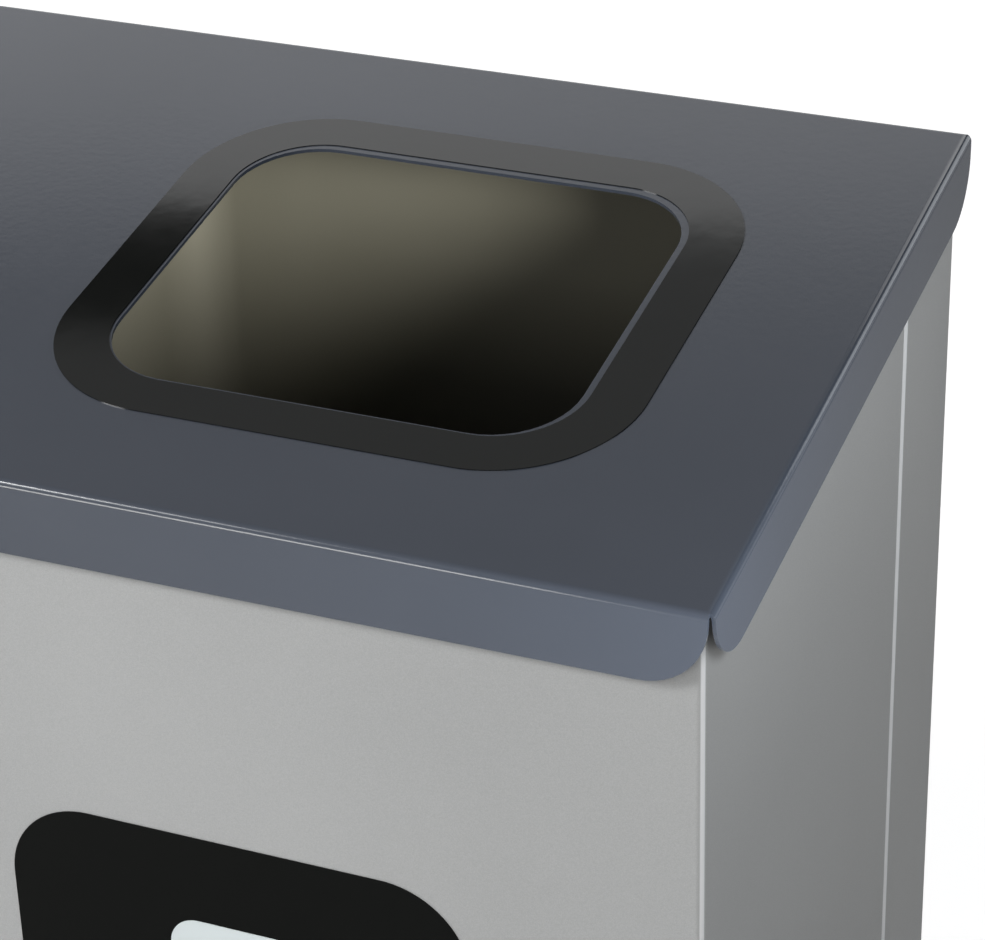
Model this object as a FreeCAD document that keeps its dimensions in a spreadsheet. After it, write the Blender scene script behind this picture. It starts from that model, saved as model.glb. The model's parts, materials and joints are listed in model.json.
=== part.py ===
"""Recycling bin station: a three-stream cabinet with one sloping, rear-hinged lid and lift-out liners.

Millimetres. +X runs along the width, +Y to the back, +Z up. The origin is on the floor, under the
middle of the station's overall box. Every driving size is a cell of the sheet "sizes"; places that
follow from them are in the variable set "layout", and every feature is bound to one or the other.
"""

import FreeCAD, Part
import math
import os

import Sketcher
from FreeCAD import Placement, Rotation, Vector

doc = FreeCAD.newDocument("recycling_bin_station")

# --------------------------------------------------------------------------- driving sizes
SIZES = [
    ("lid_width", 1120, "over the lid's side flanges"),
    ("lid_length", 327.5, "along the slope, front edge to rear edge"),
    ("lid_angle", 9, "slope of the lid, degrees"),
    ("lid_front_height", 850, "floor to the lid's front edge"),
    ("skin", 1.5, "sheet thickness of the lid and the body"),
    ("bend_radius", 3.5, "outer radius of every fold"),
    ("flange_drop", 31.3, "depth of the lid's flanges"),
    ("flange_corner", 26.5, "rounding of the flanges' lower corners"),
    ("corner_relief", 2, "how far each flange stops short of the corner"),
    ("edge_room", 1, "room left where one sheet passes another"),
    ("side_gap", 3, "lid flange to body side"),
    ("front_gap", 3.5, "lid flange to body front"),
    ("rear_gap", 4, "lid flange to back panel"),
    ("rim_gap", 3, "body's top edge to the lid's underside"),
    ("opening_width", 198, "drop opening across"),
    ("opening_length", 172, "drop opening up the slope"),
    ("opening_corner", 34, "drop opening's corner radius"),
    ("opening_centre", 161.5, "front edge to the middle of an opening, up the slope"),
    ("opening_pitch", 371, "from one opening to the next"),
    ("surround_width", 247, "opening surround across"),
    ("surround_length", 217, "opening surround up the slope"),
    ("surround_corner", 57, "opening surround's outer corner radius"),
    ("surround_margin", 2, "bare sheet between an opening and its surround"),
    ("surround_shift_x", 0.8, "surround's middle to the right of the opening's"),
    ("surround_shift_y", 1, "surround's middle above the opening's, up the slope"),
    ("film", 0.4, "thickness of the printed films"),
    ("label_side", 200, "stream label, square"),
    ("label_corner", 36.5, "stream label's corner radius"),
    ("label_drop", 149, "lid's front edge down to a label's top edge"),
    ("label_pitch", 361, "from one label to the next"),
    ("rear_section", 69.5, "depth of the back panel's side returns"),
    ("seam_gap", 0.3, "between the two body shells"),
    ("seam_lip", 16, "inward lips that join the two shells"),
    ("foot_height", 28, "floor to the body's lower edge"),
    ("tray_wall", 26, "height of the base tray's rim"),
    ("frame_depth", 18, "lid's top face down to the top frame"),
    ("frame_sheet", 2, "thickness of the top frame"),
    ("frame_play", 0.5, "top frame to the body walls"),
    ("compartment_pitch", 364, "from one compartment to the next"),
    ("divider_sheet", 1.2, "thickness of a divider"),
    ("divider_flange", 15, "divider's folded edges"),
    ("liner_width", 330, "liner across"),
    ("liner_length", 274, "liner front to back"),
    ("liner_corner", 32, "liner's upright corners"),
    ("liner_sheet", 1, "thickness of a liner"),
    ("liner_rim", 5, "liner's rim, outward"),
    ("rim_sheet", 4, "depth of a liner's rolled rim"),
    ("rim_depth", 25, "lid's top face down to a liner's rim"),
    ("lift_play", 3, "liner's rim to the window it lifts through"),
    ("grip_length", 100, "hand hole in a liner, length"),
    ("grip_height", 32, "hand hole in a liner, height"),
    ("grip_drop", 70, "rim's lowest point down to the hand hole"),
    ("grip_corner", 15, "hand hole's corner radius"),
    ("rail_height", 22, "liner rails above the base tray"),
    ("rail_width", 44, "width of a liner rail"),
    ("rail_spread", 150, "from one liner rail to the other"),
    ("rail_end_gap", 2, "end of a liner rail to the base tray's rim"),
    ("rib_width", 26, "lid stiffener across"),
    ("rib_height", 9, "lid stiffener's depth"),
    ("rib_sheet", 1.2, "thickness of a lid stiffener"),
    ("rib_margin", 24, "stiffener's ends from the lid's edges"),
    ("hinge_width", 80, "length of a hinge"),
    ("hinge_pitch", 400, "from one hinge to the next"),
    ("hinge_drop", 1, "lid's rear flange down to the hinge pin"),
    ("leaf", 2, "thickness of a hinge leaf"),
    ("knuckle_radius", 4.5, "outer radius of a hinge knuckle"),
    ("pin_radius", 2.45, "hinge pin"),
    ("pin_play", 0.05, "radial play of the hinge pin"),
    ("knuckle_gap", 0.3, "between neighbouring knuckles and to the lid"),
    ("leaf_height", 42, "fixed leaf, from the pin down"),
    ("upper_leaf_height", 26, "moving leaf, from the pin up"),
    ("screw_spacing", 48, "between the two screws or rivets of a leaf"),
    ("screw_drop", 28, "pin down to the fixed leaf's screws"),
    ("rivet_rise", 17, "pin up to the moving leaf's rivets"),
    ("screw_radius", 2, "shank of the hinge screws and rivets"),
    ("screw_play", 0.3, "shank to its hole"),
    ("screw_head", 4, "radius of a screw or rivet head"),
    ("screw_head_height", 1.6, "height of a hinge screw's or rivet's head"),
    ("seam_head_height", 2, "height of a seam screw's head"),
    ("seam_screw_end", 6, "how far a seam screw stands out behind the lips"),
    ("foot_radius", 20, "foot pad"),
    ("foot_pad_height", 14, "foot pad, floor to stud"),
    ("foot_rim", 4.9, "height of a foot pad's rim"),
    ("foot_neck", 11, "radius of a foot pad's top"),
    ("foot_socket", 5.6, "floor to the bottom of a foot pad's socket"),
    ("foot_round", 2, "rounding of a foot pad's rim"),
    ("foot_inset_x", 42, "foot to the body's side"),
    ("foot_inset_y", 38, "foot to the body's front or back"),
    ("stud_radius", 5, "foot stud"),
    ("stud_play", 0.08, "radial play of the stud in its nut"),
    ("stud_rise", 16, "how much longer a stud is than the body stands high"),
    ("hexagon_radius", 9.5, "stud's hexagon, over its corners"),
    ("hexagon_height", 6, "height of the stud's hexagon"),
    ("hexagon_gap", 0.3, "foot pad to the stud's hexagon"),
    ("weld_nut_radius", 10, "weld nut, over its corners"),
    ("weld_nut_height", 8, "height of a weld nut"),
    ("anchor_radius", 5.5, "floor anchor holes"),
    ("anchor_spacing_x", 728, "floor anchor holes, across"),
    ("anchor_spacing_y", 60, "floor anchor holes, front to back"),
    ("buffer_radius", 7, "rubber lid buffers"),
    ("buffer_inset", 30, "buffer to the body's front or back wall"),
    ("buffer_gap", 0.3, "buffer to the closed lid"),
]

STREAMS = ("left", "middle", "right")
X_AXIS, Y_AXIS, Z_AXIS = Vector(1, 0, 0), Vector(0, 1, 0), Vector(0, 0, 1)
OVERCUT = 5  # how far a cutting tool reaches past what it cuts

sheet = doc.addObject("Spreadsheet::Sheet", "sizes")
for row, (alias, value, note) in enumerate(SIZES, start=1):
    sheet.set(f"A{row}", alias)
    sheet.set(f"B{row}", str(value))
    sheet.set(f"C{row}", note)
    sheet.setAlias(f"B{row}", alias)
doc.recompute()

# --------------------------------------------------------------------------- places that follow
LAYOUT = [
    ("hinge_reach", "sizes.knuckle_gap + 2 * sizes.knuckle_radius"),
    ("lid_depth", "sizes.lid_length * cos(sizes.lid_angle)"),
    ("front_y", "-(layout.lid_depth + layout.hinge_reach) / 2"),
    ("rear_y", "layout.front_y + layout.lid_depth"),
    ("body_half", "sizes.lid_width / 2 - sizes.skin - sizes.side_gap"),
    ("body_front", "layout.front_y + sizes.skin + sizes.front_gap"),
    ("body_back", "layout.rear_y - sizes.skin - sizes.rear_gap"),
    ("body_middle", "(layout.body_front + layout.body_back) / 2"),
    ("seam", "layout.body_back - sizes.rear_section"),
    ("inner_half", "layout.body_half - sizes.skin"),
    ("inner_front", "layout.body_front + sizes.skin"),
    ("inner_back", "layout.body_back - sizes.skin"),
    ("tray_floor", "sizes.foot_height + sizes.skin"),
    ("tray_top", "sizes.foot_height + sizes.tray_wall"),
    ("liner_base", "layout.tray_floor + sizes.rail_height"),
    ("too_high", "sizes.lid_front_height + layout.lid_depth"),
    ("lid_bottom", "sizes.frame_depth + sizes.frame_sheet"),
    ("axis_y", "layout.rear_y + sizes.knuckle_gap + sizes.knuckle_radius"),
    (
        "axis_z",
        "sizes.lid_front_height + sizes.lid_length * sin(sizes.lid_angle)"
        " - sizes.flange_drop * cos(sizes.lid_angle) - sizes.hinge_drop",
    ),
    ("foot_x", "layout.body_half - sizes.foot_inset_x"),
    ("foot_front", "layout.body_front + sizes.foot_inset_y"),
    ("foot_back", "layout.body_back - sizes.foot_inset_y"),
]
layout = doc.addObject("App::VarSet", "layout")
for name, expression in LAYOUT:
    layout.addProperty("App::PropertyFloat", name, "Places")
    layout.setExpression(name, expression.replace("layout.", ""))
    doc.recompute()


def number(expression):
    """The value that an expression has now, as a plain number."""
    value = layout.evalExpression(expression)
    return float(getattr(value, "Value", value))


def stream_place(index, pitch):
    """Expression for the x of stream 0, 1 or 2, counted from the left."""
    return f"({index - 1} * sizes.{pitch})"


# --------------------------------------------------------------------------- sketching and features
def new_body(label):
    body = doc.addObject("PartDesign::Body", label)
    body.Label = label
    return body


def on_lid(thing):
    """Puts a part drawn in the lid's own frame, with its origin at the lid's front edge, in its place."""
    thing.Placement = Placement(Vector(0, 0, 0), Rotation(X_AXIS, number("sizes.lid_angle")))
    thing.setExpression("Placement.Base.y", "layout.front_y")
    thing.setExpression("Placement.Base.z", "sizes.lid_front_height")
    thing.setExpression("Placement.Rotation.Angle", "sizes.lid_angle")
    return thing


def new_sketch(body, name, plane="XY_Plane", height="0"):
    """A sketch on one of the body's origin planes, moved along the plane's normal by height."""
    sketch = body.newObject("Sketcher::SketchObject", name)
    support = next(f for f in body.Origin.OriginFeatures if f.Role == plane)
    sketch.AttachmentSupport = [(support, "")]
    sketch.MapMode = "FlatFace"
    sketch.setExpression("AttachmentOffset.Base.z", height)
    return sketch


def pin_point(sketch, geometry, point, x, y):
    """Fixes a point of the sketch at the expressions x and y, measured from its origin."""
    for kind, expression in (("DistanceX", x), ("DistanceY", y)):
        index = sketch.addConstraint(
            Sketcher.Constraint(kind, -1, 1, geometry, point, number(expression))
        )
        sketch.setExpression(f"Constraints[{index}]", expression)


def add_polygon(sketch, corners):
    """A closed outline of straight lines through corners, each a pair of expressions."""
    points = [Vector(number(x), number(y), 0) for x, y in corners]
    first = sketch.GeometryCount
    count = len(points)
    for k in range(count):
        sketch.addGeometry(Part.LineSegment(points[k], points[(k + 1) % count]), False)
    for k in range(count):
        after = first + (k + 1) % count
        sketch.addConstraint(Sketcher.Constraint("Coincident", first + k, 2, after, 1))
    for k, (x, y) in enumerate(corners):
        pin_point(sketch, first + k, 1, x, y)


def add_rounded(sketch, x0, x1, y0, y1, radius):
    """A rectangle from x0, y0 to x1, y1 with rounded corners; each bound is an expression."""
    a, b, c, d, r = (number(e) for e in (x0, x1, y0, y1, radius))
    g = sketch.GeometryCount
    sides = (
        ((a + r, c), (b - r, c)),
        ((b, c + r), (b, d - r)),
        ((b - r, d), (a + r, d)),
        ((a, d - r), (a, c + r)),
    )
    for p, q in sides:
        sketch.addGeometry(Part.LineSegment(Vector(*p, 0), Vector(*q, 0)), False)
    centres = ((b - r, c + r), (b - r, d - r), (a + r, d - r), (a + r, c + r))
    for k, (x, y) in enumerate(centres):
        circle = Part.Circle(Vector(x, y, 0), Z_AXIS, r)
        start = math.radians(90 * k - 90)
        sketch.addGeometry(Part.ArcOfCircle(circle, start, start + math.pi / 2), False)
    for k in range(4):
        arc, after = g + 4 + k, g + (k + 1) % 4
        sketch.addConstraint(Sketcher.Constraint("Tangent", g + k, 2, arc, 1))
        sketch.addConstraint(Sketcher.Constraint("Tangent", arc, 2, after, 1))
        level = "Horizontal" if k % 2 == 0 else "Vertical"
        sketch.addConstraint(Sketcher.Constraint(level, g + k))
        if k:
            sketch.addConstraint(Sketcher.Constraint("Equal", g + 4, arc))
    index = sketch.addConstraint(Sketcher.Constraint("Radius", g + 4, r))
    sketch.setExpression(f"Constraints[{index}]", radius)
    for kind, side, expression in (
        ("DistanceY", g, y0),
        ("DistanceX", g + 1, x1),
        ("DistanceY", g + 2, y1),
        ("DistanceX", g + 3, x0),
    ):
        index = sketch.addConstraint(
            Sketcher.Constraint(kind, -1, 1, side, 1, number(expression))
        )
        sketch.setExpression(f"Constraints[{index}]", expression)


def add_corner(sketch, x, y, side, radius, overlap):
    """The waste outside a rounded lower corner at x, y; side is 1 for a right corner, -1 for a left.

    The waste reaches past the corner by overlap, sideways and downwards.
    """
    a, b, r, waste = (number(e) for e in (x, y, radius, overlap))
    inner, level = f"({x}) - {side} * ({radius})", f"({y}) + ({radius})"
    outer, below = f"({x}) + {side} * ({overlap})", f"({y}) - ({overlap})"
    centre = Vector(a - side * r, b + r, 0)
    arc = sketch.GeometryCount
    start = math.radians(270 if side > 0 else 180)
    circle = Part.Circle(centre, Z_AXIS, r)
    sketch.addGeometry(Part.ArcOfCircle(circle, start, start + math.pi / 2), False)
    points = [
        Vector(a, b + r, 0),
        Vector(a + side * waste, b + r, 0),
        Vector(a + side * waste, b - waste, 0),
        Vector(a - side * r, b - waste, 0),
        Vector(a - side * r, b, 0),
    ]
    for p, q in zip(points, points[1:]):
        sketch.addGeometry(Part.LineSegment(p, q), False)
    beside, under = (2, 1) if side > 0 else (1, 2)
    for one, end, other, start_of in (
        (arc, beside, arc + 1, 1),
        (arc + 1, 2, arc + 2, 1),
        (arc + 2, 2, arc + 3, 1),
        (arc + 3, 2, arc + 4, 1),
        (arc + 4, 2, arc, under),
    ):
        sketch.addConstraint(Sketcher.Constraint("Coincident", one, end, other, start_of))
    sketch.addConstraint(Sketcher.Constraint("Horizontal", arc + 1))
    sketch.addConstraint(Sketcher.Constraint("Vertical", arc + 4))
    pin_point(sketch, arc, 3, inner, level)
    pin_point(sketch, arc + 1, 2, outer, level)
    pin_point(sketch, arc + 2, 2, outer, below)
    pin_point(sketch, arc + 3, 2, inner, below)
    bound = sketch.addConstraint(Sketcher.Constraint("Radius", arc, r))
    sketch.setExpression(f"Constraints[{bound}]", radius)


def add_circle(sketch, x, y, radius):
    index = sketch.GeometryCount
    centre = Vector(number(x), number(y), 0)
    circle = Part.Circle(centre, Z_AXIS, number(radius))
    sketch.addGeometry(circle, False)
    pin_point(sketch, index, 3, x, y)
    bound = sketch.addConstraint(Sketcher.Constraint("Radius", index, number(radius)))
    sketch.setExpression(f"Constraints[{bound}]", radius)


def pad(body, sketch, length, symmetric=False):
    feature = body.newObject("PartDesign::Pad", sketch.Name + "_pad")
    feature.Profile = sketch
    feature.setExpression("Length", length)
    if symmetric:
        feature.SideType = "Symmetric"
    doc.recompute()
    return feature


def pocket(body, sketch, length=None, symmetric=False, upward=False):
    """Cuts the sketch out of the body, and makes sure that something was cut."""
    before = body.Shape.Volume
    feature = body.newObject("PartDesign::Pocket", sketch.Name + "_pocket")
    feature.Profile = sketch
    if length is None:
        feature.Type = "ThroughAll"
    else:
        feature.setExpression("Length", length)
    if symmetric:
        feature.SideType = "Symmetric"
    feature.Reversed = upward
    doc.recompute()
    if not body.Shape.Volume < before - 1e-3:
        raise RuntimeError(f"{feature.Name} cuts nothing out of {body.Label}")
    return feature


def fillet(body, wanted, radius):
    """Rounds the edges of the body's tip for which wanted(edge) is true."""
    base = body.Tip
    names = [f"Edge{k}" for k, e in enumerate(base.Shape.Edges, start=1) if wanted(e)]
    if not names:
        raise RuntimeError(f"{body.Label} has no such edge to round")
    feature = body.newObject("PartDesign::Fillet", body.Name + "_fillet")
    feature.Base = (base, names)
    feature.setExpression("Radius", radius)
    doc.recompute()
    return feature


def slope_height(y, depth):
    """Expression for the height at y of the plane that lies depth under the lid's top face."""
    return (
        f"sizes.lid_front_height + ({y} - layout.front_y) * tan(sizes.lid_angle)"
        f" - ({depth}) / cos(sizes.lid_angle)"
    )


def cut_to_slope(body, name, depth, above=True):
    """Cuts the body along the plane depth under the lid's top face, keeping what is below or above."""
    front, back = f"(layout.front_y - {OVERCUT})", f"(layout.rear_y + {OVERCUT})"
    far = "layout.too_high" if above else "0"
    sketch = new_sketch(body, name, "YZ_Plane")
    add_polygon(
        sketch,
        [
            (front, slope_height(front, depth)),
            (back, slope_height(back, depth)),
            (back, far),
            (front, far),
        ],
    )
    pocket(body, sketch, "2 * sizes.lid_width", symmetric=True)


# --------------------------------------------------------------------------- lid
def leaning(start, depth):
    """Expression for the place along the lid, depth under its face, of an upright plane at start."""
    return f"({start}) - ({depth}) * tan(sizes.lid_angle)"


def make_lid():
    """One folded sheet: sloping plate, four flanges with open rounded corners, three openings."""
    body = on_lid(new_body("lid"))
    drop, wall = "sizes.flange_drop", "sizes.skin / cos(sizes.lid_angle)"

    outside = new_sketch(body, "lid_outside", "YZ_Plane")
    add_polygon(
        outside,
        [
            ("0", "0"),
            ("sizes.lid_length", "0"),
            (leaning("sizes.lid_length", drop), "-" + drop),
            (leaning("0", drop), "-" + drop),
        ],
    )
    pad(body, outside, "sizes.lid_width", symmetric=True)

    def round_the_top(edge):
        return edge.BoundBox.ZMin > -0.01

    fillet(body, round_the_top, "sizes.bend_radius")

    below = f"({drop} + {OVERCUT})"
    inside = new_sketch(body, "lid_inside", "YZ_Plane")
    add_polygon(
        inside,
        [
            (leaning(wall, "sizes.skin"), "-sizes.skin"),
            (leaning(f"sizes.lid_length - {wall}", "sizes.skin"), "-sizes.skin"),
            (leaning(f"sizes.lid_length - {wall}", below), f"-{below}"),
            (leaning(wall, below), f"-{below}"),
        ],
    )
    pocket(body, inside, "sizes.lid_width - 2 * sizes.skin", symmetric=True)
    skin = number("sizes.skin")

    def under_plate(edge):
        return abs(edge.BoundBox.ZMin + skin) < 0.01 and abs(edge.BoundBox.ZMax + skin) < 0.01

    fillet(body, under_plate, "sizes.bend_radius - sizes.skin")

    for side in (1, -1):
        relief = new_sketch(
            body,
            f"lid_relief_{'right' if side > 0 else 'left'}",
            "YZ_Plane",
            f"{side} * (sizes.lid_width / 2 - sizes.corner_relief)",
        )
        near_end, beyond, over = "sizes.corner_relief", "-sizes.flange_drop", str(OVERCUT)
        add_polygon(
            relief,
            [(beyond, over), (near_end, over), (near_end, f"-{below}"), (beyond, f"-{below}")],
        )
        far_end, past = "sizes.lid_length - sizes.corner_relief", f"sizes.lid_length + {OVERCUT}"
        add_polygon(
            relief,
            [
                (leaning(far_end, f"-{over}"), over),
                (leaning(past, f"-{over}"), over),
                (leaning(past, below), f"-{below}"),
                (leaning(far_end, below), f"-{below}"),
            ],
        )
        pocket(body, relief, "2 * sizes.corner_relief", upward=side > 0)

    low = -number("sizes.flange_drop")

    def end_of_side(edge):
        across = edge.BoundBox.XLength > 0.8 * skin
        return edge.BoundBox.ZMax < low + 0.01 and edge.Length < 1.2 * skin and across

    fillet(body, end_of_side, "sizes.flange_corner")
    lean = f"({drop} * tan(sizes.lid_angle) + sizes.corner_relief + sizes.edge_room)"
    for name, edge, reach in (
        ("front", "0", f"({lean} + sizes.corner_relief)"),
        ("rear", "sizes.lid_length", f"({lean} + 2 * sizes.corner_relief)"),
    ):
        corners = new_sketch(body, f"lid_{name}_corners", "XZ_Plane", f"-({edge} - {lean})")
        for side in (-1, 1):
            add_corner(
                corners,
                f"{side} * (sizes.lid_width / 2 - sizes.corner_relief)",
                "-sizes.flange_drop",
                side,
                "sizes.flange_corner",
                "(sizes.corner_relief - sizes.skin) / 2",
            )
        pocket(body, corners, reach)

    openings = new_sketch(body, "lid_openings")
    for k in range(len(STREAMS)):
        x = stream_place(k, "opening_pitch")
        add_rounded(
            openings,
            f"{x} - sizes.opening_width / 2",
            f"{x} + sizes.opening_width / 2",
            "sizes.opening_centre - sizes.opening_length / 2",
            "sizes.opening_centre + sizes.opening_length / 2",
            "sizes.opening_corner",
        )
    pocket(body, openings, "2 * sizes.skin")
    return body


def make_surround(index):
    """Printed film ring on the lid round one opening."""
    body = on_lid(new_body(f"opening_surround_{STREAMS[index]}"))
    ring = new_sketch(body, f"surround_{STREAMS[index]}")
    x = f"({stream_place(index, 'opening_pitch')} + sizes.surround_shift_x)"
    middle = "(sizes.opening_centre + sizes.surround_shift_y)"
    add_rounded(
        ring,
        f"{x} - sizes.surround_width / 2",
        f"{x} + sizes.surround_width / 2",
        f"{middle} - sizes.surround_length / 2",
        f"{middle} + sizes.surround_length / 2",
        "sizes.surround_corner",
    )
    add_rounded(
        ring,
        f"{x} - sizes.opening_width / 2 - sizes.surround_margin",
        f"{x} + sizes.opening_width / 2 + sizes.surround_margin",
        f"{middle} - sizes.opening_length / 2 - sizes.surround_margin",
        f"{middle} + sizes.opening_length / 2 + sizes.surround_margin",
        "sizes.opening_corner + sizes.surround_margin",
    )
    pad(body, ring, "sizes.film")
    return body


def make_rib(index):
    """Channel under the lid, between two openings."""
    body = on_lid(new_body(f"lid_rib_{'left' if index == 0 else 'right'}"))
    x = f"({index - 0.5} * sizes.opening_pitch)"
    half, deep = "sizes.rib_width / 2", "(sizes.skin + sizes.rib_height)"
    channel = new_sketch(body, f"rib_{index}", "XZ_Plane", "-sizes.lid_length / 2")
    add_polygon(
        channel,
        [
            (f"{x} - {half}", "-sizes.skin"),
            (f"{x} - {half}", f"-{deep}"),
            (f"{x} + {half}", f"-{deep}"),
            (f"{x} + {half}", "-sizes.skin"),
            (f"{x} + {half} - sizes.rib_sheet", "-sizes.skin"),
            (f"{x} + {half} - sizes.rib_sheet", f"-{deep} + sizes.rib_sheet"),
            (f"{x} - {half} + sizes.rib_sheet", f"-{deep} + sizes.rib_sheet"),
            (f"{x} - {half} + sizes.rib_sheet", "-sizes.skin"),
        ],
    )
    pad(body, channel, "sizes.lid_length - 2 * sizes.rib_margin", symmetric=True)
    return body


# --------------------------------------------------------------------------- body shells
SCREW_ROWS = 4
SCREW_STEP = f"(sizes.lid_front_height - sizes.foot_height) / {SCREW_ROWS + 1}"


def screw_height(row):
    return f"(sizes.foot_height + {row + 1} * {SCREW_STEP})"


def make_shell(label, front, back, slot_front, slot_back):
    """A folded sheet with two sides, one broad wall and inward lips, open between the lips."""
    body = new_body(label)
    tall = "layout.too_high - sizes.foot_height"
    outline = new_sketch(body, label + "_outline", "XY_Plane", "sizes.foot_height")
    add_rounded(
        outline, "-layout.body_half", "layout.body_half", front, back, "sizes.bend_radius"
    )
    pad(body, outline, tall)
    hollow = new_sketch(body, label + "_hollow", "XY_Plane", "sizes.foot_height")
    add_rounded(
        hollow,
        "-layout.inner_half",
        "layout.inner_half",
        f"{front} + sizes.skin",
        f"{back} - sizes.skin",
        "sizes.bend_radius - sizes.skin",
    )
    pocket(body, hollow, tall, upward=True)
    cut_to_slope(body, label + "_top", "sizes.skin + sizes.rim_gap")

    mouth = "(layout.inner_half - sizes.seam_lip)"
    slot = new_sketch(body, label + "_mouth", "XY_Plane", "sizes.foot_height")
    add_polygon(
        slot,
        [
            (f"-{mouth}", slot_front),
            (mouth, slot_front),
            (mouth, slot_back),
            (f"-{mouth}", slot_back),
        ],
    )
    pocket(body, slot, tall, upward=True)

    ends = new_sketch(body, label + "_lip_ends", "YZ_Plane")
    under = "layout.lid_bottom + sizes.frame_play"
    add_polygon(
        ends,
        [
            (slot_front, slope_height(slot_front, under)),
            (slot_back, slope_height(slot_back, under)),
            (slot_back, "layout.too_high"),
            (slot_front, "layout.too_high"),
        ],
    )
    add_polygon(
        ends,
        [
            (slot_front, "0"),
            (slot_back, "0"),
            (slot_back, "layout.tray_top + sizes.edge_room"),
            (slot_front, "layout.tray_top + sizes.edge_room"),
        ],
    )
    pocket(body, ends, "2 * layout.inner_half", symmetric=True)

    holes = new_sketch(body, label + "_screw_holes", "XZ_Plane", f"-(layout.seam + {OVERCUT})")
    for side in ("-1", "1"):
        for row in range(SCREW_ROWS):
            x = f"{side} * (layout.inner_half - sizes.seam_lip / 2)"
            add_circle(holes, x, screw_height(row), "sizes.screw_radius + sizes.screw_play")
    pocket(body, holes, str(2 * OVERCUT), upward=True)
    return body


def make_tray():
    """Folded base with an upturned rim, foot holes and floor anchor holes."""
    body = new_body("base_tray")
    inner = "sizes.bend_radius - sizes.skin"
    outline = new_sketch(body, "tray_outline", "XY_Plane", "sizes.foot_height")
    add_rounded(
        outline,
        "-layout.inner_half",
        "layout.inner_half",
        "layout.inner_front",
        "layout.inner_back",
        f"{inner} + sizes.edge_room",
    )
    pad(body, outline, "sizes.tray_wall")
    hollow = new_sketch(body, "tray_hollow", "XY_Plane", "layout.tray_floor")
    add_rounded(
        hollow,
        "-(layout.inner_half - sizes.skin)",
        "layout.inner_half - sizes.skin",
        "layout.inner_front + sizes.skin",
        "layout.inner_back - sizes.skin",
        inner,
    )
    pocket(body, hollow, "sizes.tray_wall", upward=True)
    holes = new_sketch(body, "tray_holes", "XY_Plane", "layout.tray_floor")
    for side in (-1, 1):
        for y in ("layout.foot_front", "layout.foot_back"):
            add_circle(holes, f"{side} * layout.foot_x", y, "sizes.stud_radius + sizes.edge_room")
        for end in (-1, 1):
            x = f"{side} * sizes.anchor_spacing_x / 2"
            y = f"layout.body_middle + {end} * sizes.anchor_spacing_y / 2"
            add_circle(holes, x, y, "sizes.anchor_radius")
    pocket(body, holes, "2 * sizes.skin")
    return body


def make_top_frame():
    """Sloping plate inside the body's top, with a window for each liner; the lid's buffers sit on it."""
    body = on_lid(new_body("top_frame"))
    front = leaning(
        "(layout.inner_front - layout.front_y) / cos(sizes.lid_angle)", "sizes.frame_depth"
    )
    back = leaning(
        "(layout.inner_back - layout.front_y) / cos(sizes.lid_angle)", "layout.lid_bottom"
    )
    plate = new_sketch(body, "frame_plate", "XY_Plane", "-layout.lid_bottom")
    add_rounded(
        plate,
        "-(layout.inner_half - sizes.frame_play)",
        "layout.inner_half - sizes.frame_play",
        front + " + sizes.frame_play",
        back + " - sizes.frame_play",
        "sizes.bend_radius",
    )
    window_x = "(sizes.liner_width / 2 + sizes.liner_rim + sizes.lift_play)"
    window_y = "(sizes.liner_length / 2 + sizes.liner_rim + sizes.lift_play)"
    centre = "(layout.body_middle - layout.front_y)"
    for k in range(len(STREAMS)):
        x = stream_place(k, "compartment_pitch")
        add_rounded(
            plate,
            f"{x} - {window_x}",
            f"{x} + {window_x}",
            leaning(f"({centre} - {window_y}) / cos(sizes.lid_angle)", "layout.lid_bottom"),
            leaning(f"({centre} + {window_y}) / cos(sizes.lid_angle)", "sizes.frame_depth"),
            "sizes.liner_corner",
        )
    pad(body, plate, "sizes.frame_sheet")
    return body


def make_divider(index):
    """Upright channel between two compartments, its folded edges towards the middle of the station."""
    body = new_body(f"divider_{'left' if index == 0 else 'right'}")
    side = -1 if index == 0 else 1
    web = f"({side} * sizes.compartment_pitch / 2)"
    thick, fold = f"{side} * sizes.divider_sheet", f"{side} * sizes.divider_flange"
    front = "(layout.inner_front + sizes.frame_play + sizes.skin)"
    back = "(layout.inner_back - sizes.frame_play - sizes.skin)"
    profile = new_sketch(body, f"divider_{index}_profile", "XY_Plane", "layout.tray_floor")
    add_polygon(
        profile,
        [
            (f"{web} + {thick}", front),
            (f"{web} + {thick} - {fold}", front),
            (f"{web} + {thick} - {fold}", f"{front} + sizes.divider_sheet"),
            (web, f"{front} + sizes.divider_sheet"),
            (web, f"{back} - sizes.divider_sheet"),
            (f"{web} + {thick} - {fold}", f"{back} - sizes.divider_sheet"),
            (f"{web} + {thick} - {fold}", back),
            (f"{web} + {thick}", back),
        ],
    )
    pad(body, profile, "layout.too_high - layout.tray_floor")
    cut_to_slope(body, f"divider_{index}_top", "layout.lid_bottom")
    rails = new_sketch(body, f"divider_{index}_rails", "YZ_Plane")
    for end in (-1, 1):
        middle = f"(layout.body_middle + {end} * sizes.rail_spread / 2)"
        half, top = "(sizes.rail_width / 2 + sizes.edge_room)", "layout.liner_base + sizes.edge_room"
        add_polygon(
            rails,
            [
                (f"{middle} - {half}", "0"),
                (f"{middle} + {half}", "0"),
                (f"{middle} + {half}", top),
                (f"{middle} - {half}", top),
            ],
        )
    pocket(body, rails, "sizes.lid_width", symmetric=True)
    return body


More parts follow.
